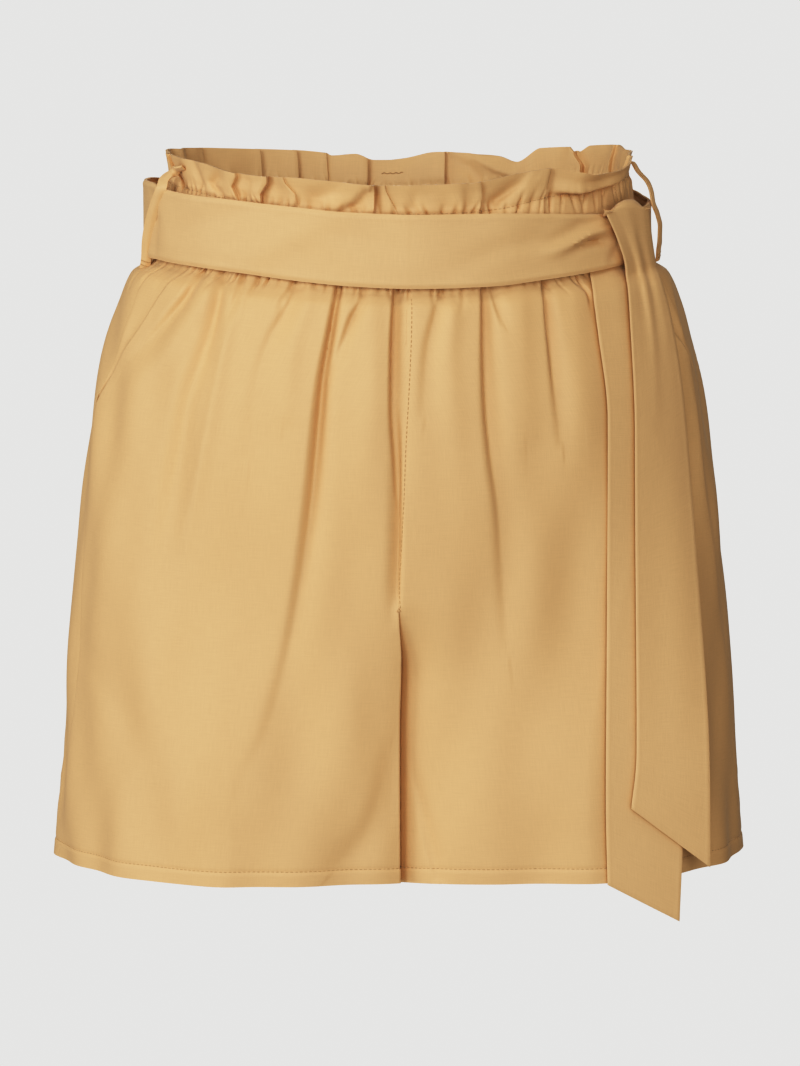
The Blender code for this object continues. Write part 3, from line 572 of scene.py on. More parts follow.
def read(table, at, column):
    """A named column of a table, read between its rows."""
    return curve([row[0] for row in table], [getattr(row, column) for row in table], at)


def by_angle(table, angle, column):
    """A named column of a table that goes round the waist by degrees."""
    return read(table, (np.degrees(angle) + 180.0) % 360.0 - 180.0, column)


def line_lengths(x, y):
    """Lengths along a line from its first point."""
    return np.append(0.0, np.cumsum(np.hypot(np.diff(x), np.diff(y))))


def row_lengths(x, y):
    """Lengths along each row of a grid from its first column."""
    steps = np.hypot(np.diff(x, axis=1), np.diff(y, axis=1))
    return np.concatenate([np.zeros((len(x), 1)), np.cumsum(steps, axis=1)], axis=1)


def resampled(values, lengths, count, trim_start=0.0, trim_end=0.0, spacing=1.0):
    """Columns of values read at evenly spaced lengths, or closer at the start."""
    usable = lengths[-1] - trim_start - trim_end
    at = trim_start + usable * np.linspace(0.0, 1.0, count) ** spacing
    return [np.interp(at, lengths, column) for column in values]


def rise_depth(z):
    """How far the rise has curved back: 0 on the centre seam, 1 at the crotch and below it."""
    depth = np.clip((RISE_TOP_Z - z) / (RISE_TOP_Z - CROTCH_Z), 0.0, 1.0)
    return 1.0 - np.sqrt(1.0 - depth * depth)


def outer_outline(turn, z, half_width, reach):
    """The outer part of an outline: half of the body above, the outside of one leg below."""
    share = smooth((LEG_START_Z - z) / (LEG_START_Z - LEG_FULL_Z))
    body_x = half_width * np.cos(turn / 2.0)
    body_y = reach * np.sin(turn / 2.0)
    power = 2.0 / LEG_OUTER_POWER
    round_cos = np.clip(np.cos(turn), 0.0, 1.0) ** power
    outside = turn < math.pi / 2.0
    leg_x = half_width / 2.0 * (1.0 + np.where(outside, round_cos, np.cos(turn)))
    inside_y = reach * (1.0 - LEG_INNER_EASE * np.cos(turn) ** 2)
    leg_y = np.where(outside, reach * np.clip(np.sin(turn), 0.0, 1.0) ** power, inside_y)
    return body_x + (leg_x - body_x) * share, body_y + (leg_y - body_y) * share


@functools.lru_cache(maxsize=None)
def corner_turn(z, face):
    """The turn at which the outer part of an outline ends and the inner corner starts."""
    turn = np.linspace(math.pi / 2.0, math.pi, CORNER_SAMPLES)
    x, _ = outer_outline(turn, z, read(BODY, z, "half_width"), read(BODY, z, face))
    return float(np.interp(-INNER_CORNER, -x, turn))


def face_outline(turn, z, face):
    """Points of one face's outline at turns from the outermost point to the inner edge."""
    half_width, reach = read(BODY, z, "half_width"), read(BODY, z, face)
    towards = -1.0 if face == "front" else 1.0
    x, y = outer_outline(turn, z, half_width, reach)
    start = corner_turn(float(z), face)
    if z >= RISE_TOP_Z:
        return x, towards * y
    corner_x, corner_y = outer_outline(np.array(start), z, half_width, reach)
    depth = rise_depth(z)
    seam_y = outer_outline(np.array(math.pi), z, half_width, reach)[1] * (1.0 - depth)
    wall_x = INNER_LEG_CLEARANCE * smooth(4.0 * depth)
    along = np.clip((turn - start) / (math.pi - start), 0.0, 1.0) * math.pi / 2.0
    power = 2.0 / INNER_CORNER_POWER
    inner_x = corner_x - (corner_x - wall_x) * np.sin(along) ** power
    inner_y = seam_y + (corner_y - seam_y) * np.clip(np.cos(along), 0.0, 1.0) ** power
    inner = turn > start
    return np.where(inner, inner_x, x), towards * np.where(inner, inner_y, y)


def outline(angle, z):
    """Points of the left half's outline: 0 is the outermost point, pi the inner edge, and minus the back."""
    turn = np.minimum(np.abs(angle), math.pi)
    front, back = face_outline(turn, z, "front"), face_outline(turn, z, "back")
    return tuple(np.where(angle >= 0.0, *pair) for pair in zip(front, back))


def ring(angle, section):
    """Points and level normals of a ring round the waist, at angles from the centre front towards +X."""
    half_width, front, back = section
    reach = np.where(np.cos(angle) > 0.0, front, back)
    x, y = half_width * np.sin(angle), -reach * np.cos(angle)
    normal = unit(np.stack([reach * np.sin(angle), -half_width * np.cos(angle)], axis=-1))
    return x, y, normal


def ring_section(table, z):
    return tuple(read(table, z, column) for column in ("half_width", "front", "back"))


def centre_drift(x, y, z):
    """The shift to the side of points near the centre front."""
    return read(CENTRE_DRIFT, z, "x") * np.exp(-(x / DRIFT_REACH) ** 2) * smooth(-y / DRIFT_START_Y)


def sag(x, half_width, y):
    """How much lower the waist lies towards the centre front and the centre back."""
    deepest = np.where(np.asarray(y) < 0.0, FRONT_SAG, BACK_SAG)
    return deepest * np.clip(1.0 - (x / half_width) ** 2, 0.0, 1.0)


def waist_share(z):
    """The share of the waist's sag that a height of the body takes."""
    return 1.0 - smooth((WAIST_SEAM_Z - z) / (WAIST_SEAM_Z - SAG_END_Z))


# ---- creases

def creased(across, height, table):
    """Depth of all creases of a table at the points of a grid, both in lengths across and heights."""
    total = np.zeros_like(across)
    for crease in table:
        places, levels, depths = np.array(crease.course, float).T
        runs = line_lengths(places, levels)
        nearest = np.full(across.shape, np.inf)
        signed, depth, run = np.zeros_like(across), np.zeros_like(across), np.zeros_like(across)
        for index in range(len(places) - 1):
            along = np.array((places[index + 1] - places[index], levels[index + 1] - levels[index]))
            length = math.hypot(*along)
            off_x, off_z = across - places[index], height - levels[index]
            part = np.clip((off_x * along[0] + off_z * along[1]) / length ** 2, 0.0, 1.0)
            away = np.hypot(off_x - part * along[0], off_z - part * along[1])
            closer = away < nearest
            side = np.sign(off_z * along[0] - off_x * along[1])
            nearest = np.where(closer, away, nearest)
            signed = np.where(closer, side * away, signed)
            depth = np.where(closer, depths[index] + (depths[index + 1] - depths[index]) * part, depth)
            run = np.where(closer, (runs[index] + length * part) / runs[-1], run)
        width = np.where(signed < 0.0, crease.before, crease.after) * (1.0 + (crease.spread - 1.0) * run)
        total += depth * np.exp(-(signed / width) ** 2)
    return total


def scaled(crease, across, widths=1.0):
    """The same crease with its places across, and its widths, made longer."""
    course = tuple((place * across, height, depth) for place, height, depth in crease.course)
    return crease._replace(before=crease.before * widths, after=crease.after * widths, course=course)


def on_body(crease):
    """The same crease with x turned into the length round the body from its middle, as a smooth line.

    One that starts under the belt is carried straight up to the waist seam.
    """
    x, height, depth = np.array(crease.course, float).T
    half_width = read(BODY, height, "half_width")
    around = half_width * np.arcsin(np.clip(x / half_width, -1.0, 1.0))
    runs = line_lengths(around, height)
    at = np.linspace(0.0, runs[-1], max(len(runs), int(runs[-1] / COURSE_STEP) + 1))
    course = tuple(zip(*(curve(runs, column, at) for column in (around, height, depth))))
    if height[0] > CREASE_START_Z:
        course = ((course[0][0], max(GATHER_TOP_Z, height[0] + 1.0), depth[0]),) + course
    return crease._replace(course=course)


def drawn_gathers(random, spacing, width, depth, length, slant):
    """Uneven gathers all round the waist: place round the ring, width, depth, length and slant of each."""
    rows = []
    place = 0.0
    while place < RING_LENGTH:
        row = [place, random.uniform(*width), random.uniform(*depth)]
        row.append(length[0] + (length[1] - length[0]) * random.random() ** 2 if length else None)
        row.append(random.normal(0.0, slant))
        rows.append(row)
        place += random.uniform(*spacing)
    return rows


def off_gather(place, at, slant, height):
    """How far points round the ring are from a gather, which leans by its slant with their height."""
    return (place - at - slant * height + RING_LENGTH / 2.0) % RING_LENGTH - RING_LENGTH / 2.0


def gathered(around, drop):
    """Depth of the short gathers at points that are drop below the waist seam."""
    total = np.zeros_like(around)
    for place, width, depth, length, slant in WAIST_GATHERS:
        fade = 1.0 - smooth(drop / length)
        spread = width * (1.0 + drop / length)
        total += depth * fade * np.exp(-(off_gather(around, place, slant, drop) / spread) ** 2)
    return total


def ripples(random, count, depth, wave):
    """Long soft waves of seeded direction, as (across, down, phase, depth)."""
    rows = []
    for _ in range(count):
        across = 2.0 * math.pi / random.uniform(*wave) * random.choice((-1.0, 1.0))
        down = 2.0 * math.pi / (RIPPLE_STRETCH * random.uniform(*wave))
        rows.append((across, down, random.uniform(0.0, 2.0 * math.pi), depth * random.uniform(0.5, 1.0)))
    return rows


def rippled(rows, across, height):
    return sum(depth * np.sin(a * across + d * height + phase) for a, d, phase, depth in rows)


# ---- meshes

def unit(vectors):
    return vectors / np.maximum(np.linalg.norm(vectors, axis=-1, keepdims=True), 1e-9)


def level_normals(x, y):
    """Normals in plan of a grid's rows, on the left of their way."""
    along = unit(np.stack([np.gradient(x, axis=1), np.gradient(y, axis=1)], axis=-1))
    return -along[..., 1], along[..., 0]


def outward_normals(grid, inside, closed=False):
    """Normals of a grid of points away from a place inside, and -1 if its rows and columns turn inwards."""
    down = np.gradient(grid, axis=0)
    if closed:
        across = (np.roll(grid, -1, axis=1) - np.roll(grid, 1, axis=1)) / 2.0
    else:
        across = np.gradient(grid, axis=1)
    normals = unit(np.cross(down, across))
    outwards = np.sum(normals[:, :, :2] * (grid[:, :, :2] - np.array(inside)))
    sign = 1.0 if outwards > 0.0 else -1.0
    return normals * sign, sign


def add_piece(name, points, faces, material):
    """A smooth piece from points in millimetres."""
    mesh = bpy.data.meshes.new(name)
    mesh.from_pydata((np.array(points) * MM).tolist(), [], faces)
    mesh.shade_smooth()
    mesh.materials.append(material)
    piece = bpy.data.objects.new(name, mesh)
    bpy.context.scene.collection.objects.link(piece)
    return piece


def shell(name, outer, thickness, material, inside, closed=False, directions=None):
    """A closed shell of cloth: the outer face, the inner face under it and the rim between them."""
    rows, columns, _ = outer.shape
    normals, sign = outward_normals(outer, inside, closed)
    if directions is None:
        directions = normals
    inner = outer - directions * np.broadcast_to(thickness, (rows, columns))[:, :, None]
    points = np.concatenate([outer.reshape(-1, 3), inner.reshape(-1, 3)])
    count = rows * columns
    index = np.arange(count).reshape(rows, columns)
    last = columns if closed else columns - 1
    here, beside = index[:, :last], np.roll(index, -1, axis=1)[:, :last]
    quads = np.stack([here[:-1], here[1:], beside[1:], beside[:-1]], axis=-1).reshape(-1, 4)
    edges = [np.stack([here[0], beside[0]], -1), np.stack([beside[-1], here[-1]], -1)]
    if not closed:
        edges += [np.stack([index[1:, 0], index[:-1, 0]], -1), np.stack([index[:-1, -1], index[1:, -1]], -1)]
    border = np.concatenate(edges)
    rim = np.concatenate([border, border[:, ::-1] + count], axis=1)
    if sign < 0.0:
        quads, rim = quads[:, ::-1], rim[:, ::-1]
    faces = np.concatenate([quads, quads[:, ::-1] + count, rim])

    piece = add_piece(name, points, faces.tolist(), material)
    piece.data.set_sharp_from_angle(angle=math.radians(SHARP_ANGLE))
    middle = columns // 2
    lengths = np.linalg.norm(np.diff(outer, axis=1), axis=2)
    across = np.concatenate([np.zeros((rows, 1)), np.cumsum(lengths, axis=1)], axis=1)
    across -= across[:, middle][:, None]
    drops = np.linalg.norm(np.diff(outer[:, middle], axis=0), axis=1)
    down = np.broadcast_to(np.append(0.0, np.cumsum(drops))[:, None], (rows, columns))
    places = np.tile(np.stack([across, -down], axis=-1).reshape(-1, 2), (2, 1)) * MM
    layer = piece.data.uv_layers.new(name="cloth")
    layer.data.foreach_set("uv", places[faces.ravel()].astype(np.float32).ravel())
    return piece


# ---- leg panels

def panel_heights():
    """Rows from the waist seam to the hem, closest at the gathers, the crotch and the hem's stitches."""
    rise = RISE_TOP_Z - CROTCH_Z
    return np.concatenate([
        np.arange(WAIST_SEAM_Z, GATHER_ROWS_END_Z, -GATHER_ROW_STEP),
        np.arange(GATHER_ROWS_END_Z, RISE_TOP_Z, -RISE_ROW_STEP),
        RISE_TOP_Z - rise * np.sin(np.linspace(0.0, math.pi / 2.0, CROTCH_ROWS)),
        np.arange(LEG_ROWS_START_Z, HEM_ROWS_START_Z, -LEG_ROW_STEP),
        np.linspace(HEM_ROWS_START_Z, HEM_Z, HEM_ROWS),
    ])


def panel_edges(z):
    """Turns of the side seam and of the front panel's edge, which leaves the seam at the pocket mouth."""
    seam = math.radians(read(SIDE_SEAM, z, "angle"))
    if z <= POCKET_MOUTH[0].z:
        return seam, seam
    return seam, max(seam, math.radians(read(POCKET_MOUTH, z, "angle")))


def panel_base(side, face, heights):
    """Outline points, turns and level normals of a panel's grid, before any fold."""
    outer_columns, inner_columns = FRONT_COLUMNS if face == "front" else BACK_COLUMNS
    towards = 1.0 if face == "front" else -1.0
    rows = []
    for z in heights:
        start = panel_edges(z)[1 if face == "front" else 0]
        corner = corner_turn(float(z), face) * towards
        outer_turn = np.linspace(start, corner, COLUMN_SAMPLES)
        inner_turn = np.linspace(corner, math.pi * towards, COLUMN_SAMPLES)
        outer, inner = outline(outer_turn, z), outline(inner_turn, z)
        outer = resampled((*outer, outer_turn), line_lengths(*outer), outer_columns, SEAM_TRIM)
        inner = resampled((*inner, inner_turn), line_lengths(*inner), inner_columns, spacing=INNER_SPACING)
        rows.append([np.concatenate([a, b[1:]]) for a, b in zip(outer, inner)])
    x, y, turn = np.array(rows).transpose(1, 0, 2)
    normal_x, normal_y = level_normals(x, y)
    return side * x, y, turn, side * normal_x * towards, normal_y * towards


def body_lift(x, y, turn, z, side):
    """How far the cloth stands out from its even outline: creases, short gathers and soft ripples."""
    half_width = read(BODY, z, "half_width")
    height = z - sag(x, half_width, y) * waist_share(z)
    seen_x = x + centre_drift(x, y, z)
    around = half_width * np.arcsin(np.clip(seen_x / half_width, -1.0, 1.0))
    out = np.zeros_like(around)
    for table, on_face in ((FRONT_CREASES, y < 0.0), (BACK_CREASES, y >= 0.0)):
        if on_face.any():
            out -= np.where(on_face, creased(around, height, [on_body(crease) for crease in table]), 0.0)
    out *= np.clip(CREASE_SIDE_FADE * np.abs(np.sin(turn / 2.0)), 0.0, 1.0)
    ring_turn = side * (90.0 - np.degrees(turn) / 2.0)
    out -= gathered((ring_turn % 360.0) / 360.0 * RING_LENGTH, WAIST_SEAM_Z - z)
    fade = smooth((WAIST_SEAM_Z - z) / RIPPLE_FADE_Z) * smooth(np.abs(x) / RIPPLE_FADE_X)
    out += rippled(CLOTH_RIPPLES, around, height) * fade
    below = smooth((RISE_TOP_Z - z) / RIM_EASE + 0.5)
    return out * (1.0 - below * np.exp(-(x / RIM_WIDTH) ** 2))


def seam_lift(angle):
    """How far the body's cloth stands out at the waist seam, at angles from the centre front towards +X."""
    x, y, _ = ring(angle, ring_section(BODY, WAIST_SEAM_Z))
    turn = math.pi - 2.0 * np.abs((angle + math.pi) % (2.0 * math.pi) - math.pi)
    height = np.full_like(x, WAIST_SEAM_Z)
    right, left = (body_lift(x, y, turn, height, side) for side in (-1, 1))
    return np.where(x < 0.0, right, left)


def cleft_growth(z):
    """How far the cleft between the legs has grown at a height."""
    return smooth((CLEFT_START_Z - z) / CLEFT_GROWTH)


def cleft_recess(x, y, z, side, face):
    """How far back the cloth lies near the gap between the legs: the wearer's left leg is the deeper one."""
    which = 0 if side < 0 else 1
    near = np.exp(-(np.abs(x) / CLEFT_WIDTH[face][which]) ** CLEFT_POWER)
    near = near * smooth(np.abs(y) / CLEFT_FACE_Y)
    return CLEFT_DEPTH[face][which] * cleft_growth(z) * near


def cleft_lap(x, y, z, face):
    """How far the rim of the wearer's right leg reaches over the gap."""
    start, end = CLEFT_LAP_DEPTH
    at_rim = 1.0 - smooth((read(BODY, z, face) - np.abs(y) - start) / (end - start))
    return CLEFT_LAP * cleft_growth(z) * at_rim * np.exp(-(x / RIM_WIDTH) ** 2)


def hem_share(z):
    """1 on the turned edge of the hem, 0 above its stitches."""
    return smooth((HEM_Z + HEM_HEIGHT - z) / HEM_EDGE)


def hem_profile(z):
    """The hem: a shallow groove along its stitches, and the turned edge a little proud below them."""
    groove = HEM_GROOVE * np.exp(-((z - HEM_Z - HEM_HEIGHT) / HEM_GROOVE_WIDTH) ** 2)
    return HEM_PROUD * hem_share(z) - groove


def placed(x, y, normal_x, normal_y, out, z):
    """Points of a leg's grid, moved out, with the waist's sag and the drift of the centre seam."""
    half_width = read(BODY, z, "half_width")
    height = z - sag(x, half_width, y) * waist_share(z)
    return np.stack([x + normal_x * out + centre_drift(x, y, z), y + normal_y * out, height], axis=-1)


def seam_sink(from_edge):
    return SEAM_SINK * np.exp(-(from_edge / SEAM_SINK_WIDTH) ** 2)


def leg_panel(side, face):
    """The grid and the thickness of a front or back panel."""
    heights = panel_heights()
    x, y, turn, normal_x, normal_y = panel_base(side, face, heights)
    z = np.broadcast_to(heights[:, None], x.shape)
    from_edge = row_lengths(x, y)
    out = body_lift(x, y, turn, z, side) + hem_profile(z) - seam_sink(from_edge)
    if face == "front":
        at_mouth = smooth((z - POCKET_MOUTH[0].z) / POCKET_EDGE_EASE)
        edge = np.exp(-(from_edge / POCKET_EDGE_WIDTH) ** 2) * (1.0 - np.exp(-from_edge ** 2))
        out += POCKET_EDGE_LIFT * at_mouth * edge
    thickness = CLOTH + (HEM_CLOTH - CLOTH) * hem_share(z)
    if side < 0:
        x = x + cleft_lap(x, y, z, face)
    recess = cleft_recess(x, y, z, side, face)
    y = y + recess * (1.0 if face == "front" else -1.0)
    grid = placed(x, y, normal_x, normal_y, out, z)
    grid[..., 2] -= CLEFT_HEM_DROP * recess * smooth((CLEFT_HEM_Z - z) / CLEFT_HEM_EASE)
    return grid, thickness


def facing_grid(side):
    """The pocket facing: level with the back panel at the side seam, under the front at the mouth."""
    heights = panel_heights()
    heights = heights[heights > POCKET_FACING_END_Z]
    rows = []
    for z in heights:
        half_width = read(BODY, z, "half_width")
        seam, mouth = panel_edges(z)
        turn = np.linspace(seam, mouth + 2.0 * POCKET_FACING_UNDERLAP / half_width, COLUMN_SAMPLES // 4)
        points = outline(turn, z)
        opened = float(smooth((mouth - seam) * half_width / 2.0 / POCKET_OPEN_MM - 1.0))
        reach = (turn - seam) / max(mouth - seam, SMALLEST_MOUTH)
        sunk = np.maximum(smooth(reach * POCKET_SINK_SHARE), 1.0 - opened) * POCKET_FACING_SINK
        rows.append(resampled((*points, turn, sunk), line_lengths(*points), FACING_COLUMNS, SEAM_TRIM))
    x, y, turn, sunk = np.array(rows).transpose(1, 0, 2)
    z = np.broadcast_to(heights[:, None], x.shape)
    normal_x, normal_y = level_normals(x, y)
    shallow = 1.0 - smooth(sunk / POCKET_FACING_SINK)
    folded = POCKET_FOLD_SHARE + (1.0 - POCKET_FOLD_SHARE) * shallow
    out = body_lift(side * x, y, turn, z, side) * folded - sunk - seam_sink(row_lengths(x, y))
    return placed(side * x, y, side * normal_x, normal_y, out, z)


# ---- waistband

def all_round(table):
    """Creases given by angle, in lengths round the waist, with copies a whole turn before and after."""
    turned = [crease._replace(course=tuple((angle + turn, z, depth) for angle, z, depth in crease.course))
              for crease in table for turn in (-360.0, 0.0, 360.0)]
    return [scaled(crease, RING_MM_PER_DEGREE, RING_MM_PER_DEGREE) for crease in turned]


def step_angles(steps, level):
    """Where each sharp edge of the frill is at one height, in degrees."""
    courses = [tuple(zip(*step.course)) for step in steps]
    return np.array([np.interp(level, heights, angles) for angles, heights in courses])


def waistband_columns(middle, steps):
    """Column angles of one half in degrees: evenly spaced, but closer together at the sharp edges."""
    degrees = np.linspace(middle - 90.0, middle + 90.0, RING_SAMPLES)
    x, y, _ = ring(np.radians(degrees), WAISTBAND[2][1:])
    density = np.gradient(line_lengths(x, y))
    for angle in step_angles(steps, STEP_MIDDLE_Z):
        density *= 1.0 + COLUMN_DENSITY * np.exp(-((degrees - angle) / COLUMN_REACH) ** 2)
    lengths = np.append(0.0, np.cumsum(density[1:]))
    return resampled((degrees,), lengths, WAISTBAND_COLUMNS, SEAM_TRIM, SEAM_TRIM)[0]


def panel_steps(columns, steps):
    """How far each column stands out, and how far it leans along the ring, in degrees, at the sharp edges."""
    places, offsets, leans = [columns[0]], [0.0], [0.0]
    for angle, step in zip(step_angles(steps, STEP_MIDDLE_Z), steps):
        half, lean = step.jump / 2.0, step.jump * STEP_LEAN
        places += [angle - STEP_EDGE, angle - STEP_WALL, angle + STEP_WALL, angle + STEP_EDGE]
        offsets += [half, half - STEP_LIP * step.jump, -half, -half]
        leans += [0.0, lean, -lean, 0.0]
    places, offsets, leans = places + [columns[-1]], offsets + [0.0], leans + [0.0]
    return np.interp(columns, places, offsets), np.interp(columns, places, leans)


def window(value, rise_start, rise_end, fall_start, fall_end):
    """1 between two ends, eased to 0 outside them."""
    risen = smooth((value - rise_start) / (rise_end - rise_start))
    return risen * (1.0 - smooth((value - fall_start) / (fall_end - fall_start)))


def casing_gathered(degrees, above_stitch):
    """Depth of the gathers that the stitch line between casing and frill draws in, and of the line itself."""
    place = (degrees % 360.0) / 360.0 * RING_LENGTH
    near = np.exp(-(above_stitch / np.where(above_stitch > 0.0, *STITCH_PULL_HEIGHT)) ** 2)
    total = np.zeros_like(place)
    for at, width, depth, _, slant in CASING_GATHERS:
        total += depth * near * np.exp(-(off_gather(place, at, slant, above_stitch) / width) ** 2)
    return total + STITCH_GROOVE * np.exp(-(above_stitch / STITCH_GROOVE_WIDTH) ** 2)


def waistband_grid(face):
    """Casing and frill of one half: points, thickness, outward directions, angles and heights of its grid."""
    steps = FRILL_STEPS[face]
    levels = np.concatenate([
        np.linspace(WAIST_SEAM_Z + WAIST_SEAM_GAP, 0.0, CASING_ROWS),
        np.linspace(FRILL_ROWS_START_Z, FRILL_TOP_Z, FRILL_ROWS),
    ])
    columns = waistband_columns(0.0 if face == "front" else 180.0, steps)
    offsets, leans = panel_steps(columns, steps)
    ends = columns[:1], columns[-1:]
    anchors = np.concatenate([ends[0], step_angles(steps, STEP_MIDDLE_Z), ends[1]])
    degrees = np.array([np.interp(columns, anchors, np.concatenate([ends[0], step_angles(steps, z), ends[1]]))
                        for z in levels])
    level = np.broadcast_to(levels[:, None], degrees.shape)
    stitch_z = by_angle(CASING_STITCH, np.radians(degrees), "z")
    above = smooth((level - stitch_z + FRILL_EASE_BELOW) / FRILL_EASE)
    step_share = STEP_SHARE_IN_CASING + (1.0 - STEP_SHARE_IN_CASING) * above
    step_share = step_share * smooth((level - STEP_START_Z) / STEP_START_EASE)
    turn = np.radians(degrees + leans * step_share)
    degrees = np.degrees(turn)
    in_frill = np.clip((level - stitch_z) / (FRILL_TOP_Z - stitch_z), 0.0, 1.0)
    z = level + by_angle(FRILL_EDGE, turn, "rise") * in_frill
    x, y, normal = ring(turn, ring_section(WAISTBAND, level))
    around = degrees * RING_MM_PER_DEGREE
    share = FRILL_SHARE_IN_CASING + (1.0 - FRILL_SHARE_IN_CASING) * above
    fold = share * creased(around, level, all_round(FRILL_CREASES))
    out = offsets * step_share - fold
    out += seam_lift(turn) * (1.0 - smooth((level - WAIST_SEAM_Z) / SEAM_FOLD_HEIGHT))
    out -= casing_gathered(degrees, level - stitch_z)
    bulge = window(degrees, *BULGE_ANGLES)
    past = np.clip((degrees - BULGE_ANGLES[1]) / BULGE_TILT_DEGREES, 0.0, BULGE_TILT_LIMIT)
    under = stitch_z + BULGE_TILT * past
    out += bulge * BULGE_REACH * smooth((level - under) / BULGE_HEIGHT)
    droop = bulge * BULGE_DROOP * np.exp(-((level - under - BULGE_DROOP_HEIGHT) / BULGE_DROOP_WIDTH) ** 2)
    out += rippled(FRILL_RIPPLES, around, level) * in_frill
    height = z - sag(x, WAISTBAND[2].half_width, y) - droop - FRILL_FOLD_DROP * fold * in_frill
    thickness = CLOTH + (FRILL_CLOTH - CLOTH) * smooth(in_frill / FRILL_CLOTH_EASE)
    grid = np.stack([x + normal[..., 0] * out, y + normal[..., 1] * out, height], axis=-1)
    outwards = np.stack([normal[..., 0], normal[..., 1], np.zeros_like(out)], axis=-1)
    return grid, thickness, outwards, turn, levels


# ---- belt, tails and loops

def belt_grid():
    """The belt round the waist, from its lower to its upper edge, with soft rounded edges."""
    angle = np.linspace(0.0, 2.0 * math.pi, COLUMN_SAMPLES * 2)
    x, y, _ = ring(angle, BELT_RING)
    angle = resampled((angle,), line_lengths(x, y), BELT_COLUMNS + 1)[0][:-1]
    shares = (1.0 - np.cos(np.linspace(0.0, math.pi, BELT_ROWS))) / 2.0
    share, turn = np.meshgrid(shares, angle, indexing="ij")
    top, low = by_angle(BELT_EDGES, turn, "top"), by_angle(BELT_EDGES, turn, "low")
    z = low + (top - low) * share
    x, y, normal = ring(turn, BELT_RING)
    degrees = (np.degrees(turn) + 180.0) % 360.0 - 180.0
    around = degrees * BELT_MM_PER_DEGREE
    out = -creased(around, z, [scaled(crease, BELT_MM_PER_DEGREE) for crease in BELT_CREASES])
    out += rippled(BELT_RIPPLES, around, z * 2.0)
    from_edge = np.minimum(share, 1.0 - share) * (top - low)
    out -= BELT_EDGE_FALL * np.exp(-(from_edge / BELT_EDGE_ROUND) ** 2)
    rise, place, width = BELT_EDGE_RISE
    out += rise * np.exp(-((from_edge - place) / width) ** 2)
    out -= window(degrees, *BELT_TILT_ANGLES) * BELT_TILT * (share - 0.5)
    out -= window(degrees, *BELT_INSET_ANGLES) * BELT_INSET
    return np.stack([x + normal[..., 0] * out, y + normal[..., 1] * out, z], axis=-1)


@functools.lru_cache(maxsize=None)
def bed_line(level):
    """What a tail lies on at one level: the belt, or the body where that reaches further out."""
    turn = np.linspace(0.0, BED_END_TURN, BED_SAMPLES)
    body_x, body_y = outline(turn, max(level, HEM_Z))
    half_width, front, _ = BELT_RING
    belt_x, belt_y = half_width * np.cos(turn / 2.0), -front * np.sin(turn / 2.0)
    outside = np.hypot(belt_x, belt_y) > np.hypot(body_x, body_y)
    x, y = np.where(outside, belt_x, body_x), np.where(outside, belt_y, body_y)
    normal_x, normal_y = level_normals(x[None], y[None])
    return x, y, normal_x[0], normal_y[0]


def on_level(x, level, lift):
    line_x, line_y, normal_x, normal_y = bed_line(level)
    return float(np.interp(-x, -(line_x + normal_x * lift), line_y + normal_y * lift))


def on_bed(x, height, lift):
    """How far forward the bed is at x, as seen from the front, with a lift over it."""
    half_width = float(read(BODY, height, "half_width"))
    level = height + float(sag(x, half_width, -1.0)) * float(waist_share(height))
    level = min(max(level, HEM_Z), FRILL_TOP_Z)
    low = math.floor(level / BED_STEP) * BED_STEP
    part = (level - low) / BED_STEP
    return on_level(x, low, lift) * (1.0 - part) + on_level(x, low + BED_STEP, lift) * part


def turned_forward(x, z, lift):
    """How far forward a point of a tail is: on the bed, or off it where the tail turns to the front."""
    y = on_bed(x, z, lift)
    run = (TAIL_TURN_START_Z - z) / (TAIL_TURN_START_Z - TAIL_TURN_END_Z)
    if run <= 0.0:
        return y
    flat_y = min(y, on_bed(TAIL_TURN_X, z, lift) + max(x - TAIL_TURN_X, 0.0) * TAIL_TURN_SLOPE)
    return y + (flat_y - y) * TAIL_TURN_SHARE * float(smooth(run))


def tail_surface(table, lift, folds):
    """Grid of a hanging tail, with its creases and its rolled edges."""
    values = np.array(table, float)
    lengths = np.append(0.0, np.cumsum(np.abs(np.diff(values[:, 2]))))
    at = np.linspace(0.0, lengths[-1], int(lengths[-1] / TAIL_STEP))
    z_left, x_left, z_right, x_right, rise = (curve(lengths, column, at)[:, None] for column in values.T)
    share = np.linspace(0.0, 1.0, TAIL_COLUMNS)
    share = share - TAIL_EDGE_DENSITY * np.sin(2.0 * math.pi * share) / (2.0 * math.pi)
    x = x_left + (x_right - x_left) * share
    z = z_left + (z_right - z_left) * share
    across = np.broadcast_to(share, x.shape) * TAIL_WIDTH
    out = -creased(across, z, [scaled(crease, TAIL_WIDTH, TAIL_WIDTH) for crease in folds])
    from_edge = np.minimum(share, 1.0 - share) * (x_right - x_left) * TAIL_DEPTH_SHARE
    out += TAIL_EDGE_RISE * np.exp(-((from_edge - TAIL_EDGE_WIDTH) / TAIL_EDGE_RISE_WIDTH) ** 2)
    out -= TAIL_EDGE_FALL * np.exp(-(from_edge / TAIL_EDGE_FALL_WIDTH) ** 2)
    from_end = z - z[-1]
    out += TAIL_END_RISE * np.exp(-((from_end - TAIL_END_WIDTH) / TAIL_EDGE_RISE_WIDTH) ** 2)
    out -= TAIL_END_RISE * np.exp(-(from_end / TAIL_END_FALL_WIDTH) ** 2)
    lifts = out + lift + rise
    y = np.array([[turned_forward(*point) for point in zip(*row)] for row in zip(x, z, lifts)])
    return np.stack([x, y, z], axis=-1)


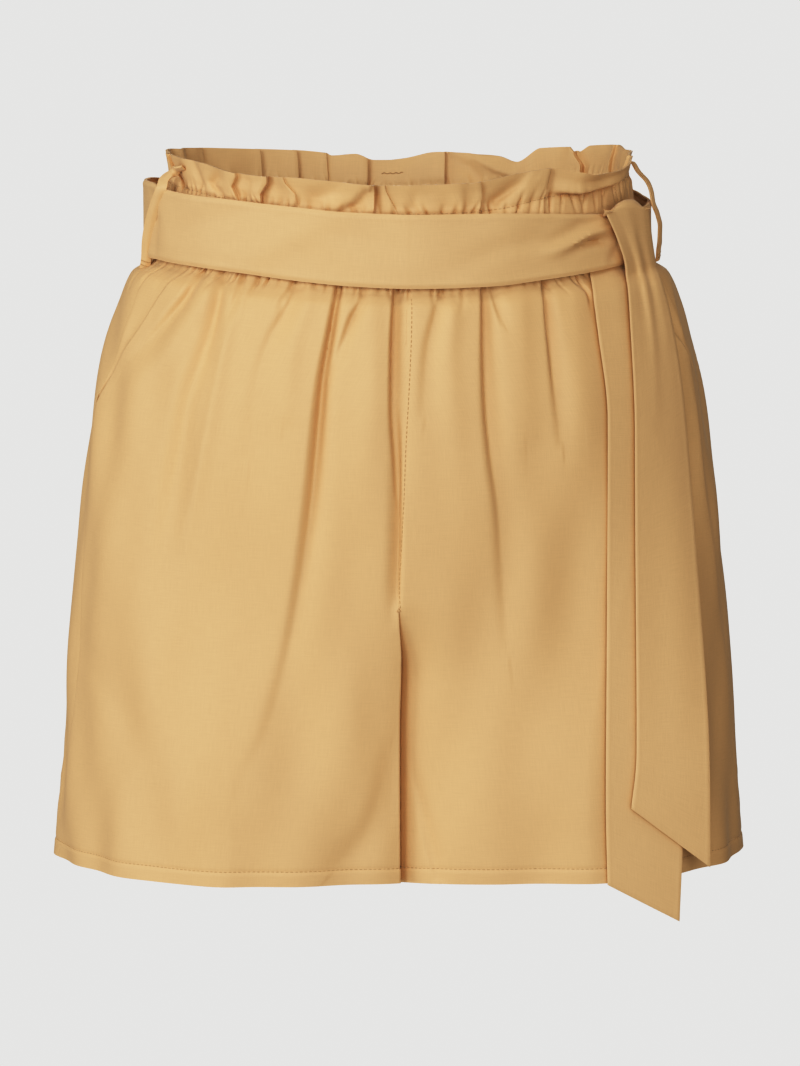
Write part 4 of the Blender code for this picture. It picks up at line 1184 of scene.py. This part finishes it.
def front_tail_grid():
    """The tail that comes up behind the belt, bends over its top edge and hangs in front."""
    hanging = tail_surface(FRONT_TAIL, FRONT_TAIL_LIFT, FRONT_TAIL_CREASES)
    first = hanging[0]
    inner_lift = -BELT_CLOTH - TAIL_GAP - TAIL_CLOTH
    inner = np.array([(x, on_bed(x, z, inner_lift), z) for x, _, z in first])
    share = np.linspace(0.0, 1.0, TAIL_COLUMNS)
    top_z = TAIL_TOP_Z - TAIL_TOP_DROP * (1.0 - smooth(share / TAIL_TOP_DROP_END))
    top_z -= TAIL_TOP_SLOPE * smooth((share - TAIL_TOP_SLOPE_START) / (1.0 - TAIL_TOP_SLOPE_START))
    start_z = np.minimum(first[:, 2], top_z - TAIL_BEND_HEIGHT)
    rows = [inner - (0.0, 0.0, TAIL_TUCK)]
    for turn in np.linspace(0.0, math.pi, TAIL_BEND_STEPS, endpoint=False):
        row = inner + (first - inner) * (1.0 - math.cos(turn)) / 2.0
        level = np.where(turn > math.pi / 2.0, first[:, 2], start_z)
        row[:, 2] = level + (top_z - level) * math.sin(turn)
        rows.append(row)
    return np.concatenate([np.array(rows), hanging])


def loop_grid(loop):
    """A belt loop: sewn in under the frill, over the belt, sewn down on the body below it."""
    degrees, z, lift = np.array(loop.path, float).T
    x, y, normal = ring(np.radians(degrees), BELT_RING)
    points = np.stack([x + normal[:, 0] * lift, y + normal[:, 1] * lift, z], axis=-1)
    runs = np.append(0.0, np.cumsum(np.linalg.norm(np.diff(points, axis=0), axis=1)))
    at = np.linspace(0.0, runs[-1], LOOP_STEPS)
    line = np.stack([curve(runs, column, at) for column in points.T], axis=-1)
    facing = math.radians(loop.facing)
    along = unit(np.gradient(line, axis=0))
    side = np.broadcast_to((math.cos(facing), math.sin(facing), 0.0), line.shape)
    side = unit(side - along * np.sum(side * along, axis=1, keepdims=True))
    share = np.linspace(-0.5, 0.5, LOOP_COLUMNS)
    crown = LOOP_CROWN * (1.0 - np.cos(share * math.pi * 2.0))
    normal = np.cross(side, along)
    return line[:, None] + side[:, None] * (share * LOOP_WIDTH)[:, None] + normal[:, None] * crown[:, None]


# ---- stitches

def read_line(values, runs, at):
    """Rows of points or normals read at lengths along their line."""
    return np.stack([np.interp(at, runs, column) for column in values.T], axis=-1)


def stitches(name, lines, material, pitch=STITCH_PITCH, length=STITCH_LENGTH, width=STITCH_WIDTH):
    """Rows of short raised threads in one mesh. Each line is (points, normals) on the cloth's outer face."""
    turns = 2.0 * math.pi * np.arange(THREAD_SIDES) / THREAD_SIDES
    ends = len(THREAD_SECTIONS) - 1
    points, faces = [], []
    for places, normals in lines:
        runs = np.append(0.0, np.cumsum(np.linalg.norm(np.diff(places, axis=0), axis=1)))
        for start in np.arange(pitch / 2.0, runs[-1] - pitch / 2.0, pitch):
            tail, head = read_line(places, runs, [start - 0.5 * length, start + 0.5 * length])
            along = unit(head - tail)
            up = unit(read_line(normals, runs, [start])[0])
            side = np.cross(along, up)
            first = len(points)
            for section, radius in THREAD_SECTIONS:
                centre = (tail + head) / 2.0 + along * section * length + up * width * THREAD_LIFT
                points += [centre + (side * math.cos(turn) + up * math.sin(turn)) * radius * width / 2.0
                           for turn in turns]
            corners = np.arange(THREAD_SIDES)
            for row in range(ends):
                a = first + row * THREAD_SIDES + corners
                b = first + row * THREAD_SIDES + (corners + 1) % THREAD_SIDES
                faces += np.stack([a, b, b + THREAD_SIDES, a + THREAD_SIDES], axis=-1).tolist()
            faces.append((first + corners)[::-1].tolist())
            faces.append((first + ends * THREAD_SIDES + corners).tolist())
    return add_piece(name, points, faces, material)


def centre_seam_line(grid, normals, heights):
    """Points and normals beside the centre front seam, on the wearer's left."""
    line = []
    for row, z in enumerate(heights):
        if CENTRE_STITCH_END_Z < z < CENTRE_STITCH_START_Z:
            runs = line_lengths(grid[row, ::-1, 0], grid[row, ::-1, 1])
            line.append([read_line(values[row, ::-1], runs, CENTRE_STITCH_X) for values in (grid, normals)])
    return np.array(line).transpose(1, 0, 2)


def casing_line(grid, turn, levels):
    """Points and normals along the stitches between casing and frill."""
    normals, _ = outward_normals(grid, (0.0, 0.0))
    wanted = by_angle(CASING_STITCH, turn[int(np.argmin(np.abs(levels - STEP_MIDDLE_Z)))], "z")
    return [np.array([read_line(values[:, i], levels, z) for i, z in enumerate(wanted)])
            for values in (grid, normals)]


def label_line(grid, thickness, outwards, turn, levels):
    """Points and normals of the short curly row on the inner face at the centre back."""
    row = int(np.argmin(np.abs(levels - LABEL_STITCH_LEVEL)))
    marked = np.abs(np.degrees(turn[row]) - 180.0) < LABEL_STITCH_REACH
    line = (grid[row] - outwards[row] * thickness[row][:, None])[marked]
    line[:, 2] += LABEL_STITCH_WAVE * np.sin(np.arange(len(line)) * LABEL_STITCH_TURN)
    return line, -outwards[row][marked]


# ---- materials

def fill(tree, made, inputs):
    """Give inputs of a node a value, or a link where the value is another node's output."""
    for name, value in inputs.items():
        if isinstance(value, bpy.types.NodeSocket):
            tree.links.new(value, made.inputs[name])
        else:
            made.inputs[name].default_value = value


def node(tree, kind, inputs, **settings):
    made = tree.nodes.new(kind)
    for name, value in settings.items():
        setattr(made, name, value)
    fill(tree, made, inputs)
    return made


def mapped(tree, value, from_ends, to_ends):
    """A value carried from one range to another."""
    inputs = {"Value": value, "From Min": from_ends[0], "From Max": from_ends[1],
              "To Min": to_ends[0], "To Max": to_ends[1]}
    return node(tree, "ShaderNodeMapRange", inputs).outputs["Result"]


def crossed_noise(tree, place, across, along, shifts, detail):
    """Noise drawn out along the threads both ways, added up."""
    both = node(tree, "ShaderNodeMath", {}, operation="ADD")
    for index, scale in enumerate(((across, along, 1.0), (along, across, 1.0))):
        shift = (shifts[index], shifts[index], 0.0)
        stretched = node(tree, "ShaderNodeMapping", {"Vector": place, "Scale": scale, "Location": shift})
        inputs = {"Vector": stretched.outputs["Vector"], "Scale": 1.0, "Detail": detail}
        fill(tree, both, {index: node(tree, "ShaderNodeTexNoise", inputs).outputs["Fac"]})
    return both.outputs[0]


def new_material(name, inputs):
    material = bpy.data.materials.new(name)
    material.use_nodes = True
    tree = material.node_tree
    shader = tree.nodes["Principled BSDF"]
    fill(tree, shader, inputs)
    return material, tree, shader


def cloth_material(name, colour, slub_strength):
    """Fine plain weave: threads and uneven slubs both ways, in colour and bump, with a soft sheen, and
    painted shade darkening the base colour in folds.
    """
    material, tree, shader = new_material(name, {
        "Roughness": 0.62, "Specular IOR Level": 0.28,
        "Sheen Weight": 0.16, "Sheen Roughness": 0.45, "Sheen Tint": (1.0, 0.88, 0.66, 1.0),
    })
    place = node(tree, "ShaderNodeUVMap", {}, uv_map="cloth").outputs["UV"]
    weave = crossed_noise(tree, place, 2400.0, 420.0, (1.0, 5.0), 1.0)
    slubs = crossed_noise(tree, place, 1900.0, 95.0, (0.0, 3.0), 2.0)
    patch = node(tree, "ShaderNodeTexNoise", {"Vector": place, "Scale": 9.0, "Detail": 3.0}).outputs["Fac"]
    shade = mapped(tree, slubs, (0.7, 1.3), (1.0 - slub_strength, 1.0 + slub_strength))
    wide = mapped(tree, patch, (0.3, 0.7), (0.975, 1.025))
    level = node(tree, "ShaderNodeMath", {0: shade, 1: wide}, operation="MULTIPLY").outputs[0]
    tint = node(tree, "ShaderNodeVectorMath", {0: colour, "Scale": level}, operation="SCALE")
    # painted shade: ambient occlusion darkens and warms the base colour in folds and where pieces lie close
    # together
    around = node(tree, "ShaderNodeAmbientOcclusion", {"Distance": FOLD_SHADE_SIGHT * MM}, samples=8)
    folded = mapped(tree, around.outputs["AO"], FOLD_SHADE_OPEN[::-1], (0.0, 1.0))
    painted_shade_inputs = {"Factor": folded, 6: tint.outputs[0], 7: (*PAINTED_FOLD_SHADE_TINT, 1.0)}
    deeper = node(tree, "ShaderNodeMix", painted_shade_inputs, data_type="RGBA", blend_type="MULTIPLY")
    height = node(tree, "ShaderNodeMath", {0: weave, 1: 0.8, 2: slubs}, operation="MULTIPLY_ADD")
    bump = node(tree, "ShaderNodeBump", {"Strength": 0.35, "Distance": 0.00012, "Height": height.outputs[0]})
    fill(tree, shader, {"Base Color": deeper.outputs[2], "Normal": bump.outputs["Normal"]})
    return material


def thread_material(name, colour):
    """Thread: a fine twist in colour."""
    material, tree, shader = new_material(name, {"Roughness": 0.6, "Sheen Weight": 0.2})
    place = node(tree, "ShaderNodeTexCoord", {}).outputs["Object"]
    noise = node(tree, "ShaderNodeTexNoise", {"Vector": place, "Scale": 2600.0}).outputs["Fac"]
    shade = mapped(tree, noise, (0.0, 1.0), (0.85, 1.15))
    tint = node(tree, "ShaderNodeVectorMath", {0: colour, "Scale": shade}, operation="SCALE")
    fill(tree, shader, {"Base Color": tint.outputs[0]})
    return material


# ---- studio

def make_camera():
    azimuth, elevation = math.radians(CAMERA_AZIMUTH), math.radians(CAMERA_ELEVATION)
    flat = math.cos(elevation)
    back = np.array((math.sin(azimuth) * flat, -math.cos(azimuth) * flat, math.sin(elevation)))
    camera = bpy.data.objects.new("camera", bpy.data.cameras.new("camera"))
    camera.location = (np.array(CAMERA_TARGET) + back * CAMERA_DISTANCE) * MM
    camera.rotation_euler = (math.pi / 2.0 - elevation, 0.0, azimuth)
    camera.data.sensor_width = SENSOR
    camera.data.lens = SENSOR * CAMERA_DISTANCE / (IMAGE_HEIGHT_PX * MM_PER_PX)
    camera.data.clip_end = CAMERA_CLIP_END_M
    bpy.context.scene.collection.objects.link(camera)
    bpy.context.scene.camera = camera


def area_light(name, place, size, power, colour):
    """A soft round light that points at the middle of the garment."""
    light = bpy.data.lights.new(name, "AREA")
    light.shape = "DISK"
    light.size, light.energy, light.color = size, power, colour
    lamp = bpy.data.objects.new(name, light)
    lamp.location = place
    x, y, z = np.array(LIGHT_AIM) - np.array(place)
    lamp.rotation_euler = (math.acos(-z / math.hypot(x, y, z)), 0.0, math.atan2(y, x) - math.pi / 2.0)
    lamp.visible_camera = False
    bpy.context.scene.collection.objects.link(lamp)


def make_backdrop():
    """A pale floor that runs into an even pale backdrop all round, seen by the camera only."""
    material = bpy.data.materials.new("backdrop")
    material.use_nodes = True
    tree = material.node_tree
    tree.nodes.clear()
    glow = node(tree, "ShaderNodeEmission", {"Color": (*BACKDROP, 1.0)})
    node(tree, "ShaderNodeOutputMaterial", {"Surface": glow.outputs[0]})
    turns = 2.0 * math.pi * np.arange(BACKDROP_SIDES) / BACKDROP_SIDES
    points = [(radius * math.cos(turn), radius * math.sin(turn), height)
              for radius, height in BACKDROP_PROFILE for turn in turns]
    faces = []
    for row in range(len(BACKDROP_PROFILE) - 1):
        for step in range(BACKDROP_SIDES):
            a = row * BACKDROP_SIDES + step
            b = row * BACKDROP_SIDES + (step + 1) % BACKDROP_SIDES
            faces.append((a, b, b + BACKDROP_SIDES, a + BACKDROP_SIDES))
    mesh = bpy.data.meshes.new("backdrop")
    mesh.from_pydata(points, [], faces)
    mesh.materials.append(material)
    backdrop = bpy.data.objects.new("backdrop", mesh)
    for kind in ("diffuse", "glossy", "transmission", "shadow", "volume_scatter"):
        setattr(backdrop, "visible_" + kind, False)
    bpy.context.scene.collection.objects.link(backdrop)


def make_studio():
    make_backdrop()
    world = bpy.data.worlds.new("studio")
    world.use_nodes = True
    fill(world.node_tree, world.node_tree.nodes["Background"], {"Color": WORLD, "Strength": WORLD_STRENGTH})
    bpy.context.scene.world = world
    for light in LIGHTS:
        area_light(*light)
    view = bpy.context.scene.view_settings
    view.view_transform = "Standard"
    view.use_curve_mapping = True
    contrast = view.curve_mapping.curves[3]
    for point in CONTRAST[1:-1]:
        contrast.points.new(*point)
    contrast.points[-1].location = CONTRAST[-1]
    view.curve_mapping.update()


# ---- the garment

Cloth = namedtuple("Cloth", "slot material")


def declare(piece, node_name=None):
    """Attach a piece to the root body, and hide the CAD node that it replaces."""
    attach(piece, "root")
    if node_name:
        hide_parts(node_name)


def sew(node_name, grid, thickness, cloth, inside, flat, held, rests_on, **shape):
    """One piece of cloth, attached to the root body in place of its CAD node."""
    piece = shell(node_name + "_cloth", grid, thickness, cloth.material, inside, **shape)
    declare(piece, node_name)


def make_legs(cloth):
    """The four leg panels and the two pocket facings. Returns the stitch lines of hems and centre seam."""
    hem_lines = []
    heights = panel_heights()
    hem_row = int(np.argmin(np.abs(heights - (HEM_Z + HEM_HEIGHT))))
    for name, side in (("right", -1), ("left", 1)):
        inside = (side * BODY[0].half_width / 2.0, 0.0)
        for face, flat in (("front", (0.262, 0.345)), ("back", (0.272, 0.350))):
            grid, thickness = leg_panel(side, face)
            sew(f"{face}_{name}", grid, thickness, cloth, inside, flat, "hung", ["waistband_" + face])
            normals, _ = outward_normals(grid, inside)
            hem_lines.append((grid[hem_row], normals[hem_row]))
            if (name, face) == ("left", "front"):
                centre_line = centre_seam_line(grid, normals, heights)
        sew(f"pocket_facing_{name}", facing_grid(side), POCKET_CLOTH, cloth, inside, (0.026, 0.105), "hung",
            ["waistband_front"])
    return hem_lines, [centre_line]


def make_waistband(cloth):
    """Both halves of casing and frill. Returns the stitch lines of the casing and of the label's place."""
    casing_lines = []
    for face in ("front", "back"):
        grid, thickness, outwards, turn, levels = waistband_grid(face)
        sew("waistband_" + face, grid, thickness, cloth, (0.0, 0.0), (0.420, 0.060), "gathered",
            ["front_left", "front_right"], directions=outwards)
        casing_lines.append(casing_line(grid, turn, levels))
    return casing_lines, [label_line(grid, thickness, outwards, turn, levels)]


def make_belt(cloth):
    """The belt, its two tails and its loops. Returns the loops' stitch lines."""
    middle, leg_middle = (0.0, 0.0), (BODY[0].half_width / 2.0, 0.0)
    sew("belt_band", belt_grid(), BELT_CLOTH, cloth, middle, (0.760, 0.0395), "stretched",
        ["waistband_front", "waistband_back"], closed=True)
    back_tail = tail_surface(BACK_TAIL, BACK_TAIL_LIFT, BACK_TAIL_CREASES)
    tails = (("back", back_tail, (0.042, 0.355)), ("front", front_tail_grid(), (0.042, 0.375)))
    for name, grid, flat in tails:
        sew("belt_tail_" + name, grid, TAIL_CLOTH, cloth, leg_middle, flat, "hung", ["belt_band"])
    tack_lines = []
    for loop in LOOPS:
        grid = loop_grid(loop)
        normals, _ = outward_normals(grid, middle)
        tack_lines += [(grid[row], normals[row]) for row in TACK_ROWS]
        sew(loop.node, grid, LOOP_CLOTH, cloth, middle, (0.010, 0.050), "folded",
            ["waistband_front", "belt_band"])
    return tack_lines


def make_garment():
    shorts_cloth = Cloth("shorts_cloth", cloth_material("shorts_cloth", TAN, 0.045))
    belt_cloth = Cloth("belt_cloth", cloth_material("belt_cloth", BELT_TAN, 0.05))
    thread = thread_material("thread", THREAD_TAN)
    hem_lines, centre_lines = make_legs(shorts_cloth)
    casing_lines, label_lines = make_waistband(shorts_cloth)
    tack_lines = make_belt(belt_cloth)
    for name, lines in (("hem", hem_lines), ("centre", centre_lines), ("casing", casing_lines)):
        declare(stitches(name + "_stitches", lines, thread))
    for name, lines in (("loop_tacks", tack_lines), ("label_stitches", label_lines)):
        declare(stitches(name, lines, thread, TACK_PITCH, TACK_LENGTH, TACK_WIDTH))


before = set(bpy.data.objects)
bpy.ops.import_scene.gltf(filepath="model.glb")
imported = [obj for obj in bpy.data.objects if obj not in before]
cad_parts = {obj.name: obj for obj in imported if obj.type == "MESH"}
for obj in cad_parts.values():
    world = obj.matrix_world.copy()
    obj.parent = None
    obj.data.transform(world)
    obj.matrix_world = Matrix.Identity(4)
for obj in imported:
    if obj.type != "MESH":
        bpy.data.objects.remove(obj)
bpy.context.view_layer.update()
drawing = np.random.default_rng(SEED)
WAIST_GATHERS = drawn_gathers(
    drawing, GATHER_SPACING, GATHER_WIDTH, GATHER_DEPTH, GATHER_LENGTH, GATHER_SLANT,
)
CASING_GATHERS = drawn_gathers(
    drawing, CASING_GATHER_SPACING, CASING_GATHER_WIDTH, CASING_GATHER_DEPTH, None, CASING_GATHER_SLANT,
)
drawing = np.random.default_rng(SEED + 1)
CLOTH_RIPPLES = ripples(drawing, RIPPLES, RIPPLE_DEPTH, RIPPLE_WAVE)
FRILL_RIPPLES = ripples(drawing, *FRILL_RIPPLE)
BELT_RIPPLES = ripples(drawing, *BELT_RIPPLE)
make_camera()
make_studio()
make_garment()
